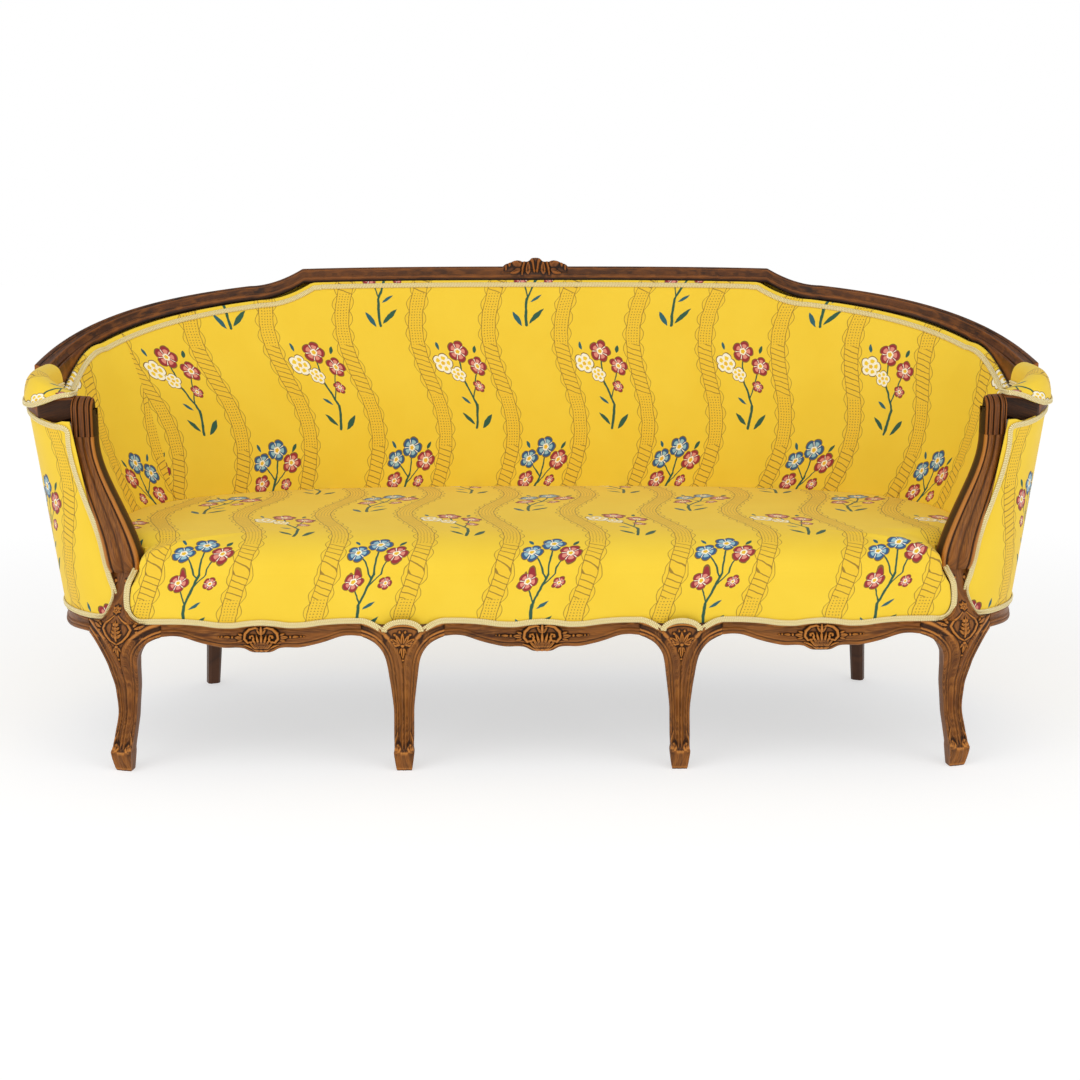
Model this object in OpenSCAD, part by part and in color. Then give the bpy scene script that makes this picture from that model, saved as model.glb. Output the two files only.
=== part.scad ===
// Cabriole sofa in the Louis XV manner: six legs, a moulded show-wood frame and a tight upholstered seat,
// back and arms that run round in one curve. Origin at the floor under the middle of the box, front towards -Y.

/* [Overall] */
// Width over the arms at arm height
overall_w = 2036; // [1900:2:2200]
// Depth from the front feet to the back of the crest rail
overall_d = 785; // [740:1:840]
// Height of the crest rail at its middle
crest_h = 922; // [880:1:960]
// Height of the crown of the seat
seat_h = 455; // [435:1:480]
// Height of the top of the arm where the pad begins
arm_h = 744; // [710:1:770]

/* [Plan] */
// Distance from the front feet back to the widest point of the frame
widest_y = 250; // [225:1:275]
// Outward lean of the side walls, in degrees
side_lean = 8.4; // [5:0.1:11]
// Backward lean of the back, in degrees
back_lean = 7.6; // [5:0.1:10]
// Roundness of the two rear corners
corner_power = 2.9; // [2.4:0.05:3.4]
// Width of each rounded front corner at the seat rail
corner_w = 200; // [180:1:215]
// Width of each rounded front corner at the arm
arm_corner_w = 165; // [150:1:185]
// Depth of each rounded front corner at the seat rail
corner_d = 230; // [218:1:240]
// Depth of each rounded front corner at the arm
arm_corner_d = 140; // [125:1:155]

/* [Seat frame] */
// Height of the top of the visible seat rail
rail_h = 292; // [275:1:305]
// Height of the hidden top of the seat rail
rail_top_h = 345; // [332:1:356]
// Height of the lowest edge of the plain rails
rail_low_h = 258; // [250:1:266]
// Thickness of the seat rails
rail_t = 34; // [28:1:40]
// Depth of the rebate that the cover is tacked into
rebate = 6; // [4:0.5:8]
// How far the carved middle of each apron hangs below the plain rail
apron_drop = 26; // [18:1:32]
// How far the apron lifts on either side of its middle
apron_lift = 7; // [3:0.5:10]

/* [Legs] */
// Distance between the two middle front legs, as a share of the overall width
middle_leg_share = 0.2613; // [0.25:0.0001:0.27]
// Place of each corner leg, measured along the front in from the overall width
corner_leg_in = 212; // [206:1:222]
// Width of a front leg at its ankle
ankle_w = 38.5; // [34:0.5:44]
// Width of a front foot where it meets the floor
foot_w = 28.6; // [24:0.5:34]
// Reach of a knee to each joint with the rails
knee_reach = 80; // [70:1:92]
// How far the shin sweeps back between the knee and the foot
leg_sweep = 18; // [12:0.5:22]
// Width of a rear leg at its top
rear_leg_w = 36; // [32:1:42]
// Width of a rear leg at the floor
rear_foot_w = 27; // [22:1:32]
// How far a rear leg splays out over its height, along its corner
rear_splay = 40; // [20:1:46]

/* [Top rail] */
// Width of the moulded top rail
top_rail_w = 50; // [44:1:56]
// Height of the moulded top rail
top_rail_t = 30; // [26:1:34]
// Drop of the step at each shoulder
shoulder_drop = 36; // [24:1:42]
// Length of half the crest rail
crest_half_l = 410; // [380:2:440]
// Bow of the crest rail from its middle to the shoulders
crest_bow = 3.5; // [0:0.5:8]
// Width of the carved cresting
cresting_w = 146; // [120:2:170]
// Height of the carved cresting over the rail
cresting_h = 20; // [12:1:24]

/* [Arms] */
// Height of the hand-hold at the front of each arm
knuckle_h = 710; // [690:1:722]
// Height of the joint under the hand-hold
support_h = 634; // [615:1:650]
// Height of the foot of the arm support
support_low_h = 385; // [375:1:395]
// Width of the hand-hold
knuckle_w = 44; // [38:1:50]
// Widest part of the arm support, just over its foot
support_w = 67; // [58:1:72]
// Front of the hand-hold, measured back from the front feet
knuckle_y = 120; // [105:1:135]
// How far the hand-hold lies in from the overall width
knuckle_in = 137; // [123:1:153]
// How far the foot of the arm support lies in from the overall width
support_in = 221; // [212:1:233]
// Front of the foot of the arm support, measured back from the front feet
support_back = 35; // [28:1:42]
// Thickness of the wooden arm rail under its pad
arm_rail_t = 24; // [20:1:28]
// Length of the arm pad, measured along the depth of the sofa
pad_l = 168; // [150:2:180]
// Height of the arm pad over its rail
pad_h = 38; // [30:1:44]

/* [Upholstery] */
// Thickness of the arm wall at seat height
arm_wall_t = 118; // [100:1:126]
// Thickness of the back at seat height
back_wall_t = 83; // [70:1:90]
// Thickness of the walls at the height of the crest rail
top_wall_t = 55; // [50:1:60]
// Thickness of the cover fabric with its wadding
cover_t = 3; // [2:0.5:4]
// Swell of the stuffed inner back
back_crown = 10; // [4:1:14]
// Width of the braid that trims every edge
gimp_w = 10; // [8:0.5:12]
// Thickness of the braid
gimp_t = 3; // [2:0.5:4]
// Width of a webbing strap
web_w = 50; // [40:1:56]
// Number of webbing straps across the seat
web_n = 13; // [9:1:15]
// Number of webbing straps along the seat
web_rows = 5; // [4:1:6]

/* [Hidden] */

walnut = "#82501e";
dark_walnut = "#4a2a12";
beech = "#c8a878";
yellow = "#fad638";
braid = "#f3e3a0";
jute = "#b59a6b";
linen = "#d9cfae";
steel = "#8d8d90";
black = "#2c2a28";

// Clearance between a soft piece and its neighbour
soft_gap = 0.3;
// Overrun of every cut
over = 2;
// Step along a curve used to take its direction, and the same as an angle
probe = 0.5;
turn_probe = 0.5;
// Thickness of a webbing strap
web_t = 1.6;
// Thickness of a sheet of hessian
hessian_t = 1.2;

front_y = -overall_d / 2;
back_y = overall_d / 2;
center_y = front_y + widest_y;
rear_share = 0.74;
middle_leg_gap = overall_w * middle_leg_share;
corner_leg_u = overall_w / 2 - corner_leg_in;
knuckle_x = overall_w / 2 - knuckle_in;
support_x = overall_w / 2 - support_in;
front_turn = 62;
// Thickness of the wall behind the arm support, at seat height and at its top
front_low_t = 46;
front_top_t = 62;

// Half width and half depth of the outer wall at height z, and the size of its rounded front corner there.
function wall_a(z) = overall_w / 2 + (z - arm_h) * tan(side_lean);
function wall_b(z) = back_y - center_y + (z - crest_h) * tan(back_lean);
function level(z) = (z - rail_h) / (knuckle_h - rail_h);
function mix(a, b, s) = a + (b - a) * s;
function clamp01(s) = min(1, max(0, s));
function wall_cw(z) = mix(corner_w, arm_corner_w, clamp01(level(z)));
function wall_cd(z) = mix(corner_d, arm_corner_d, clamp01(level(z)));
function ease(s) = s * s * (3 - 2 * s);

// Point of the plan at angle t: 90 at the middle of the back, 0 at the widest point, below 0 on the front corner.
// set holds how far the line lies inside the outer wall at the side, at the back and at the front corner.
function plan(t, z, set = [0, 0, 0]) =
    t >= 0
    ? [
        (wall_a(z) - set.x) * pow(max(cos(t), 0), 2 / corner_power),
        center_y + (wall_b(z) - set.y) * pow(max(sin(t), 0), 2 / corner_power)
    ]
    : [
        wall_a(z) - wall_cw(z) + (wall_cw(z) - set.x) * cos(t),
        center_y + (wall_cd(z) - set.z) * sin(t)
    ];

// Outward direction of the plan at angle t.
function facing(t, z) =
    let (
        a = plan(min(t + turn_probe, 90), z),
        b = plan(min(t + turn_probe, 90) - 2 * turn_probe, z),
        d = (b - a) / norm(b - a)
    )
    [-d.y, d.x];

// Angle of share s of the way from the middle of the back to the front end of the wall, in even steps.
function even(s) = pow(s, 1.45) / (pow(s, 1.45) + pow(1 - s, 1.45));
function turn(s, last = front_turn) =
    s <= rear_share ? 90 * (1 - even(s / rear_share)) : -last * (s - rear_share) / (1 - rear_share);

// How far the inner face of the upholstery lies inside the outer wall at angle t and height z.
function inner_set(t, z) =
    let (s = (z - seat_h) / (wall_top(t) - seat_h))
    [mix(arm_wall_t, top_wall_t, s), mix(back_wall_t, top_wall_t, s), mix(front_low_t, front_top_t, s)];
function plus(v, d) = [v.x + d, v.y + d, v.z + d];

// Height of the outer edge of the top rail at angle t.
shoulder_turn = 68.7;
step_turn = 60.7;
step_h = crest_h - crest_bow - shoulder_drop;
function fall(s) = s + 0.12 * s * sin(180 * s);
function rail_z(t) =
    t >= shoulder_turn ? crest_h - crest_bow * pow((90 - t) / (90 - shoulder_turn), 2)
    : t >= step_turn ? crest_h - crest_bow - shoulder_drop * (1 - pow(1 - (shoulder_turn - t) / (shoulder_turn - step_turn), 2))
    : t >= 0 ? mix(arm_h, step_h, fall(t / step_turn))
    : arm_h;

// Height where the upholstered wall ends, under the rails.
arm_seat_h = knuckle_h - arm_rail_t;
// Angle where the arm pad begins, and where the top rail starts to deepen towards it.
pad_turn = 4;
deepen_turn = 24;
function wall_top(t) =
    t >= deepen_turn ? rail_z(t) - top_rail_t
    : t >= 0 ? mix(arm_seat_h, rail_z(deepen_turn) - top_rail_t, ease(t / deepen_turn))
    : arm_seat_h - arm_rail_t * ease(-t / front_turn);

// A closed skin over rings of points, with a fan over each end. Each ring runs the same way round. Every quad is
// split along the diagonal that falls towards the back, so that neighbouring layers stay parallel.
function centroid(r) = [for (c = [0:2]) sum([for (p = r) p[c]]) / len(r)];
function sum(v, i = 0, acc = 0) = i == len(v) ? acc : sum(v, i + 1, acc + v[i]);
module skin(rings) {
    n = len(rings[0]);
    m = len(rings);
    points = concat([for (r = rings) for (p = r) p], [centroid(rings[0]), centroid(rings[m - 1])]);
    sides = [
        for (i = [0:m - 2], j = [0:n - 1])
            let (
                a = i * n + j, b = i * n + (j + 1) % n, c = a + n, d = b + n,
                p = points[d] - points[a],
                q = points[c] - points[b]
            )
            each (p.y * p.z < q.y * q.z ? [[a, c, d], [a, d, b]] : [[a, c, b], [b, c, d]])
    ];
    start = [for (j = [0:n - 1]) [m * n, j, (j + 1) % n]];
    end = [for (j = [0:n - 1]) [m * n + 1, (m - 1) * n + (j + 1) % n, (m - 1) * n + j]];
    polyhedron(points, concat(sides, start, end), convexity = 6);
}

module left() {
    mirror([1, 0, 0]) children();
}

// The line of the seat frame, measured from the middle of the front round the corner to the middle of the back.
frame_line = concat(
    [[0, center_y - corner_d]],
    [for (t = [-90:5:-5]) plan(t, rail_h)],
    [for (i = [0:30]) plan(90 * even(i / 30), rail_h)]
);
function lengths(p, i = 1, acc = [0]) =
    i == len(p) ? acc : lengths(p, i + 1, concat(acc, [acc[i - 1] + norm(p[i] - p[i - 1])]));
frame_u = lengths(frame_line);
frame_xs = [for (i = [0:len(frame_u) - 1]) [frame_u[i], frame_line[i].x]];
frame_ys = [for (i = [0:len(frame_u) - 1]) [frame_u[i], frame_line[i].y]];
frame_end = frame_u[len(frame_u) - 1];
function on_frame(u) = [lookup(u, frame_xs), lookup(u, frame_ys)];
// Point at distance u along the frame, d in from its face, at height z.
function frame_at(u, d, z) =
    let (
        v = min(abs(u), frame_end),
        a = on_frame(max(v - 4 * probe, 0)),
        b = on_frame(min(v + 4 * probe, frame_end)),
        t = (b - a) / norm(b - a),
        p = on_frame(v) - d * [t.y, -t.x]
    )
    [u < 0 ? -p.x : p.x, p.y, z];

// A smooth value from a table of rising places and values.
function slot_of(x, tab, i = 0) = i >= len(tab) - 2 || x < tab[i + 1].x ? i : slot_of(x, tab, i + 1);
function smooth(x, tab) =
    let (
        n = len(tab),
        i = slot_of(x, tab),
        h = tab[i + 1].x - tab[i].x,
        s = clamp01((x - tab[i].x) / h),
        rise = (tab[i + 1].y - tab[i].y) / h,
        before = i > 0 ? (tab[i].y - tab[i - 1].y) / (tab[i].x - tab[i - 1].x) : rise,
        after = i < n - 2 ? (tab[i + 2].y - tab[i + 1].y) / (tab[i + 2].x - tab[i + 1].x) : rise,
        m0 = before * rise <= 0 ? 0 : (before + rise) / 2,
        m1 = after * rise <= 0 ? 0 : (after + rise) / 2
    )
    tab[i].y * (1 + 2 * s) * pow(1 - s, 2) + m0 * h * s * pow(1 - s, 2)
    + tab[i + 1].y * s * s * (3 - 2 * s) + m1 * h * s * s * (s - 1);

// Front legs. Heights are shares of the rail height, widths of the ankle, sweeps of the leg's sweep.
leg_z_shares = [0, 0.02, 0.125, 0.15, 0.25, 0.37, 0.48, 0.58, 0.66, 0.73, 0.79, 0.83, 0.86, 0.885, 0.93, 1];
shin_shares = [[0, 0.5], [0.125, 0.515], [0.15, 0.48], [0.25, 0.5], [0.37, 0.5], [0.53, 0.6], [0.69, 0.83]];
knee_shares = [[0.69, 0], [0.77, 0.16], [0.81, 0.34], [0.85, 0.66], [0.885, 1], [1, 1]];
sweep_shares = [
    [0, 0.28], [0.125, 0], [0.15, 0.12], [0.25, 0.5], [0.37, 0.95], [0.53, 1], [0.69, 0.55], [0.81, 0.15],
    [0.9, 0], [1, 0.1]
];
leg_depth_shares = [[0, 0.72], [0.125, 1.03], [0.15, 0.98], [0.37, 0.94], [0.53, 0.99], [0.69, 1.14], [0.81, 1.42], [1, 1.5]];
// Moulding across a band: share of the band's width from its edge, and depth as a share of the band's width.
band_shares = [[0, 0.26], [0.14, 0], [0.5, 0.17], [0.86, 0.01], [1, 0.2]];
band_w = ankle_w * 0.47;
knee_out = widest_y - corner_d;
knee_share = 0.69;
leg_core = ankle_w * 0.68;
skew_share = 0.4;

function leg_half(s) =
    s <= 0.02 ? foot_w / 2
    : s <= knee_share ? ankle_w * smooth(s, shin_shares)
    : mix(ankle_w * shin_shares[6].y, knee_reach, smooth(s, knee_shares));
function leg_front(s) = leg_sweep * smooth(s, sweep_shares) - knee_out;
function leg_depth(s) = ankle_w * smooth(s, leg_depth_shares);

// One level of a leg: half its width, the place of its face, its depth and its height, at u along the frame.
function leg_ring(u0, hw, front, depth, z, proud = 1) =
    let (
        band = min(hw * 0.96, band_w),
        wide = clamp01((hw - leg_core) / leg_core),
        ear = knee_out * pow(hw / knee_reach, 2),
        face = [for (b = band_shares) [hw - b.x * band, b.y * band * proud]],
        outline = concat(
            [for (f = face) [-f.x, front + f.y + knee_out * pow(f.x / knee_reach, 2)]],
            [[0, front + band_shares[4].y * band * proud * 0.7]],
            [for (i = [4:-1:0]) [face[i].x, front + face[i].y + knee_out * pow(face[i].x / knee_reach, 2)]],
            [
                [hw, mix(front + depth * 0.5, max(rail_t, front + ear + rebate), wide)],
                [mix(hw * 0.93, leg_core, wide), mix(front + depth * 0.8, rail_t, wide)],
                [mix(hw * 0.6, leg_core * 0.75, wide), front + depth],
                [-mix(hw * 0.6, leg_core * 0.75, wide), front + depth],
                [-mix(hw * 0.93, leg_core, wide), mix(front + depth * 0.8, rail_t, wide)],
                [-hw, mix(front + depth * 0.5, max(rail_t, front + ear + rebate), wide)]
            ]
        )
    )
    [for (p = outline) frame_at(u0 + p.x, p.y, z)];

function shaft(u0, skew) = [
    for (s = leg_z_shares)
        leg_ring(u0 - (s < 0.84 ? skew : 0) * leg_sweep * smooth(s, sweep_shares), leg_half(s), leg_front(s), leg_depth(s), s * rail_h)
];

// The hidden head of a middle leg, set back behind the cover.
head_back = rail_t + rebate;
module middle_leg() {
    color(walnut) skin(concat(
        shaft(middle_leg_gap / 2, 0),
        [
            for (z = [rail_h + soft_gap, rail_top_h])
                leg_ring(middle_leg_gap / 2, knee_reach * 0.6, rebate, head_back - rebate, z, 0.2)
        ]
    ));
}

// The post over a corner leg: height as a share of the way to the arm support, half width of the post.
post_shares = [[0, 0.54], [0.1, 0.36], [0.25, 0.24], [0.6, 0.17], [0.85, 0.21], [1, 0.29]];
support_y = front_y + support_back;
post_depth = 40;
module corner_leg() {
    color(walnut) skin(concat(
        shaft(corner_leg_u, skew_share),
        [
            for (p = post_shares)
                leg_ring(
                    corner_leg_u - (corner_leg_u - support_x) * 0.6 * p.x, knee_reach * p.y,
                    mix(leg_front(1), support_y - front_y - knee_out, ease(p.x)), post_depth,
                    mix(rail_h, support_low_h, p.x), 0.5
                )
        ]
    ));
}

module front_leg_inner_right() middle_leg();
module front_leg_inner_left() left() middle_leg();
module front_leg_outer_right() corner_leg();
module front_leg_outer_left() left() corner_leg();

// Place of the rear legs on the frame.
rear_leg_turn = 47.9;
frame_turns = concat(
    [for (t = [-90:5:-5]) t],
    [for (i = [0:30]) 90 * even(i / 30)]
);
frame_turn_us = [for (i = [0:len(frame_turns) - 1]) [frame_turns[i], frame_u[i + 1]]];
rear_leg_u = lookup(rear_leg_turn, frame_turn_us);
chamfer_share = 0.2;
// Height, width and outward splay of a rear leg, as shares.
rear_leg_shares = [[0, 1, 1], [0.3, 0.7, 0.56], [0.6, 0.4, 0.22], [0.85, 0.1, 0.02], [1, 0, 0]];
function rear_ring(w, out, z) =
    let (
        c = w * chamfer_share,
        h = w / 2,
        m = rear_leg_w / 2 - out,
        outline = [
            [-h + c, -h], [h - c, -h], [h, -h + c], [h, h - c], [h - c, h], [-h + c, h], [-h, h - c], [-h, -h + c]
        ]
    )
    [for (p = outline) rear_at(p.x, p.y + m, z)];
// Point beside the middle line of the rear leg: along the frame and in from its face.
function rear_at(du, d, z) =
    let (p = on_frame(rear_leg_u), q = on_frame(rear_leg_u + probe), t = (q - p) / norm(q - p))
    let (r = p + du * t - d * [t.y, -t.x])
    [r.x, r.y, z];
module rear_leg() {
    color(dark_walnut) skin(concat(
        [for (s = rear_leg_shares) rear_ring(mix(rear_leg_w, rear_foot_w, s.y), rear_splay * s.z, s.x * rail_low_h)],
        [rear_ring(rear_leg_w, 0, rail_h)],
        [for (z = [rail_h + soft_gap, rail_top_h]) rear_ring(rear_leg_w - rebate, -rebate / 2, z)]
    ));
}
module rear_leg_right() rear_leg();
module rear_leg_left() left() rear_leg();

// Rails of the seat. The lower and upper edges of the show wood wave along each apron.
drop_shares = [[0, 1], [0.1, 0.95], [0.18, 0.68], [0.39, 0.62], [0.63, 0.25], [0.85, 0], [1, 0]];
lift_shares = [[0, 0], [0.6, 0], [0.85, 1], [1, 0]];
wave_shares = [[0, -0.33], [0.13, -0.55], [0.3, -1], [0.43, -0.9], [0.62, -0.33], [0.88, 0], [1, 0]];
wave_h = apron_drop * 0.32;
bead = rebate * 0.5;
function rail_section(low, high) = [
    [bead, low], [rail_t - bead, low], [rail_t, low + bead], [rail_t, rail_top_h], [rebate, rail_top_h],
    [rebate, high], [0, high], [0, high - bead], [bead, high - 2.4 * bead], [bead * 1.2, mix(low, high, 0.5)],
    [bead, low + 3.4 * bead], [0, low + 2.4 * bead], [0, low + bead]
];
function rail_ring(u, low, high) = [for (p = rail_section(low, high)) frame_at(u, p.x, p.y)];
function rail_end(du, flipped) = [
    for (p = rail_section(rail_low_h, rail_h)) let (q = rear_at(du, p.x, p.y)) [flipped ? -q.x : q.x, q.y, q.z]
];
function apron_low(s) =
    rail_low_h - apron_drop * smooth(abs(s), drop_shares) + apron_lift * smooth(abs(s), lift_shares);
function apron_high(s) = rail_h + wave_h * smooth(abs(s), wave_shares);
apron_steps = 9;
module apron(from, to) {
    color(walnut) skin([
        for (i = [-apron_steps:apron_steps])
            rail_ring(mix(from, to, (i / apron_steps + 1) / 2), apron_low(i / apron_steps), apron_high(i / apron_steps))
    ]);
}
bay_in = middle_leg_gap / 2 + knee_reach;
bay_out = corner_leg_u - knee_reach;
module apron_center() apron(knee_reach - middle_leg_gap / 2, middle_leg_gap / 2 - knee_reach);
module apron_right() apron(bay_in, bay_out);
module apron_left() left() apron(bay_in, bay_out);

side_u = corner_leg_u + knee_reach;
side_end_u = rear_leg_u - rear_leg_w / 2;
side_steps = 9;
module side_rail_right() {
    color(walnut) skin(concat(
        [for (i = [0:side_steps - 1]) rail_ring(mix(side_u, side_end_u, i / side_steps), rail_low_h, rail_h)],
        [rail_end(-rear_leg_w / 2, false)]
    ));
}
module side_rail_left() left() side_rail_right();

rear_l = frame_end - rear_leg_u - rear_leg_w / 2;
rear_steps = 7;
module rear_rail() {
    color(dark_walnut) skin(concat(
        [rail_end(rear_leg_w / 2, false)],
        [
            for (i = [1 - rear_steps:rear_steps - 1])
                rail_ring((frame_end - rear_l * abs(i) / rear_steps) * (i <= 0 ? 1 : -1), rail_low_h, rail_h)
        ],
        [rail_end(rear_leg_w / 2, true)]
    ));
}

// Bearers between the front and rear rails, dished so that the webbing never rests on them.
stretcher_w = rail_t;
stretcher_h = 50;
stretcher_dish = 10;
function back_line(x, set) =
    center_y + (wall_b(rail_h) - set)
        * pow(1 - pow(abs(x) / (wall_a(rail_h) - set), corner_power), 1 / corner_power);
module stretcher() {
    x = middle_leg_gap / 2;
    y0 = front_y + knee_out + head_back;
    y1 = back_line(x + stretcher_w / 2, rail_t) - soft_gap;
    color(beech)
        translate([x - stretcher_w / 2, y0, rail_top_h - stretcher_dish - stretcher_h])
            cube([stretcher_w, y1 - y0, stretcher_h]);
}
module seat_stretcher_right() stretcher();
module seat_stretcher_left() left() stretcher();

// Glued blocks in the angles between the rails and the legs, each with two screws.
block_l = 60;
block_t = 24;
block_h = 40;
screw_d = 4;
block_z = rail_low_h + 2 * bead;
block_us = [bay_in - block_l * 0.32, bay_out - block_l * 0.4];
function block_y() = front_y + knee_out + rail_t + soft_gap;
module each_block() {
    for (m = [0, 1], u = block_us)
        mirror([m, 0, 0]) translate([u, block_y(), block_z + block_h / 2]) children();
}
module each_screw() {
    each_block() for (k = [-1, 1]) translate([k * block_l / 4, 0, 0]) rotate([-90, 0, 0]) children();
}
module corner_blocks() {
    color(beech) difference() {
        each_block() translate([-block_l / 2, 0, -block_h / 2]) cube([block_l, block_t, block_h]);
        each_screw() translate([0, 0, -over]) cylinder(h = block_t + 2 * over, d = screw_d + 2 * soft_gap, $fn = 16);
    }
}
module corner_block_screws() {
    color(steel) each_screw() {
        cylinder(h = block_t, d = screw_d, $fn = 12);
        translate([0, 0, block_t]) cylinder(h = screw_d / 2, d = 2 * screw_d, $fn = 16);
    }
}

// Top rail. Places are shares of its width from the outer edge, and of its height from its top.
top_shares = [
    [-0.92, -1], [-0.08, -1], [0, -0.73], [0, -0.2], [-0.06, -0.04], [-0.16, 0], [-0.24, -0.1], [-0.4, -0.18],
    [-0.54, -0.1], [-0.62, -0.14], [-0.69, -0.32], [-0.8, -0.52], [-0.91, -0.54], [-1, -0.68], [-1, -0.88]
];
// How far each of those places rises under the cresting.
crest_shares = [0, 0, 0, 0.1, 0.6, 0.9, 1, 1, 1, 0.95, 0.8, 0.5, 0.25, 0, 0];
cresting_shares = [[0, 1], [0.12, 0.94], [0.26, 0.6], [0.4, 0.66], [0.58, 0.72], [0.78, 0.5], [0.95, 0.25], [1, 0]];
function top_ring(side, t) =
    let (
        z = rail_z(t),
        p = plan(t, z),
        o = facing(t, z),
        x = abs(p.x) / (cresting_w / 2),
        lift = x >= 1 ? 0 : cresting_h * smooth(x, cresting_shares),
        deeper = z - top_rail_t - wall_top(t)
    )
    [
        for (i = [0:len(top_shares) - 1])
            let (
                s = top_shares[i],
                q = p + s.x * top_rail_w * o,
                h = s.y * top_rail_t - deeper * clamp01((-s.y - 0.5) / 0.18) + lift * crest_shares[i]
            )
            [side * q.x, q.y, z + h]
    ];
function t_at(x, z) = acos(pow(x / wall_a(z), corner_power / 2));
crest_turn = t_at(crest_half_l, crest_h);
crest_ts = concat(
    [for (i = [0:3]) t_at(mix(crest_half_l, cresting_w * 0.62, i / 3), crest_h)],
    [for (i = [8:-1:1]) t_at(cresting_w / 2 * i / 8, crest_h)]
);
module crest_rail() {
    color(dark_walnut) skin(concat(
        [for (t = crest_ts) top_ring(-1, t)],
        [top_ring(1, 90)],
        [for (i = [len(crest_ts) - 1:-1:0]) top_ring(1, crest_ts[i])]
    ));
}
module top_rail_right() {
    color(dark_walnut) skin([for (t = wall_ts) if (t <= crest_turn && t >= pad_turn) top_ring(1, t)]);
}
module top_rail_left() left() top_rail_right();

// Arm rail: under the pad it follows the wall, then it rolls over and down as the hand-hold.
arm_shares = [
    [-0.5, -1], [0.5, -1], [0.5, -0.3], [0.43, -0.08], [0.27, 0], [0.13, -0.09], [0, 0], [-0.13, -0.09],
    [-0.27, 0], [-0.43, -0.08], [-0.5, -0.3]
];
support_turn = 6;
roll_r = knuckle_w * 0.55;
knuckle_depth = knuckle_w * 0.95;
function arm_ring(c, side, up, w, t) = [for (s = arm_shares) c + s.x * w * side + s.y * t * up];
hold_side = [cos(support_turn), sin(support_turn), 0];
hold_front = [sin(support_turn), -cos(support_turn), 0];
hold_at = [knuckle_x, front_y + knuckle_y, 0];
roll_turn = -44;
function arm_line(t) =
    let (p = plan(t, knuckle_h), o = facing(t, knuckle_h), w = mix(top_rail_w, knuckle_w, clamp01(-t / front_turn)))
    [p.x - o.x * w / 2, p.y - o.y * w / 2, arm_top(t)];
function arm_top(t) = mix(knuckle_h, arm_h - pad_h, clamp01((t + front_turn) / front_turn));
module arm_rail_right() {
    color(dark_walnut) skin(concat(
        [
            for (t = wall_ts)
                if (t <= pad_turn && t >= roll_turn) let (o = facing(t, knuckle_h))
                arm_ring(
                    arm_line(t), [o.x, o.y, 0], [0, 0, 1],
                    mix(top_rail_w, knuckle_w, clamp01(-t / front_turn)), arm_top(t) - wall_top(t)
                )
        ],
        [
            for (b = [10, 35, 60, 90])
                arm_ring(
                    hold_at - roll_r * hold_front * (1 - sin(b)) + [0, 0, knuckle_h - roll_r * (1 - cos(b))],
                    hold_side, sin(b) * hold_front + [0, 0, cos(b)], knuckle_w, mix(arm_rail_t, knuckle_depth, sin(b))
                )
        ],
        [arm_ring(hold_at + [0, 0, support_h], hold_side, hold_front, knuckle_w, knuckle_depth)]
    ));
}
module arm_rail_left() left() arm_rail_right();

// Arm support: it sweeps in and forward from the hand-hold to a scroll over the corner leg.
support_width_shares = [[0, 0.5], [0.05, 0.12], [0.12, 0], [0.24, 0.13], [0.44, 0.43], [0.86, 1.04], [1, 1]];
support_place_shares = [0, 0.06, 0.16, 0.28, 0.4, 0.52, 0.64, 0.75, 0.84, 0.92, 0.97, 1];
function support_width(s) = mix(support_w, knuckle_w, smooth(s, support_width_shares));
function support_ring(s) =
    let (
        w = support_width(s),
        x = mix(support_x, knuckle_x, ease(s)),
        y = mix(support_y, front_y + knuckle_y, ease(s)),
        tuck = rebate * pow(1 - min(1, s / 0.12), 2),
        c = [x, y + tuck, mix(support_low_h, support_h, s)]
    )
    arm_ring(c, hold_side, hold_front, w, mix(knuckle_depth * 1.1, knuckle_depth, s) - 2 * tuck);
module arm_support_right() {
    color(walnut) skin([for (s = support_place_shares) support_ring(1 - s)]);
}
module arm_support_left() left() arm_support_right();

// Layers of the upholstered walls, as distances in from the outer wall.
post_set = 12;
post_t = 24;
web_set = post_set + post_t + soft_gap;
hessian_set = web_set + web_t + soft_gap;
stuffing_set = hessian_set + hessian_t + soft_gap;
wall_low = rail_top_h + soft_gap + web_t * 2 + hessian_t + soft_gap * 4;

// Point of the wall at angle t and height z: du along the wall, set in from its outer face.
function wall_at(side, t, z, set, du = 0) =
    let (p = plan(t, z, set), o = facing(t, z))
    [side * (p.x + du * o.y), p.y - du * o.x, z];
front_share = 0.66;
function even_set(d) = [d, d, d * front_share];
// How far in the stuffed face lies at angle t and height z, with its swell over the seat.
function face_set(t, z) =
    plus(inner_set(t, z), back_crown * sin(180 * clamp01((z - seat_h) / (wall_top(t) - seat_h))));

// Angles along the wall that every layer shares, from the middle of the back to the front of the arm.
seam_turn = 30;
wall_ts = concat(
    [for (i = [0:2]) t_at(crest_half_l * i / 3, crest_h)],
    [crest_turn, shoulder_turn],
    [for (i = [1:4]) mix(shoulder_turn, step_turn, i / 4)],
    [for (i = [1:2]) mix(step_turn, rear_leg_turn, i / 2)],
    [for (i = [1:3]) mix(rear_leg_turn, seam_turn, i / 3)],
    [deepen_turn],
    [for (i = [1:4]) mix(deepen_turn, pad_turn, i / 4)],
    [0],
    [for (i = [1:5]) -front_turn * i / 5]
);
wall_last = len(wall_ts) - 1;
wall_lines = lengths([for (t = wall_ts) plan(t, seat_h)]);
wall_end = wall_lines[wall_last];
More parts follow.
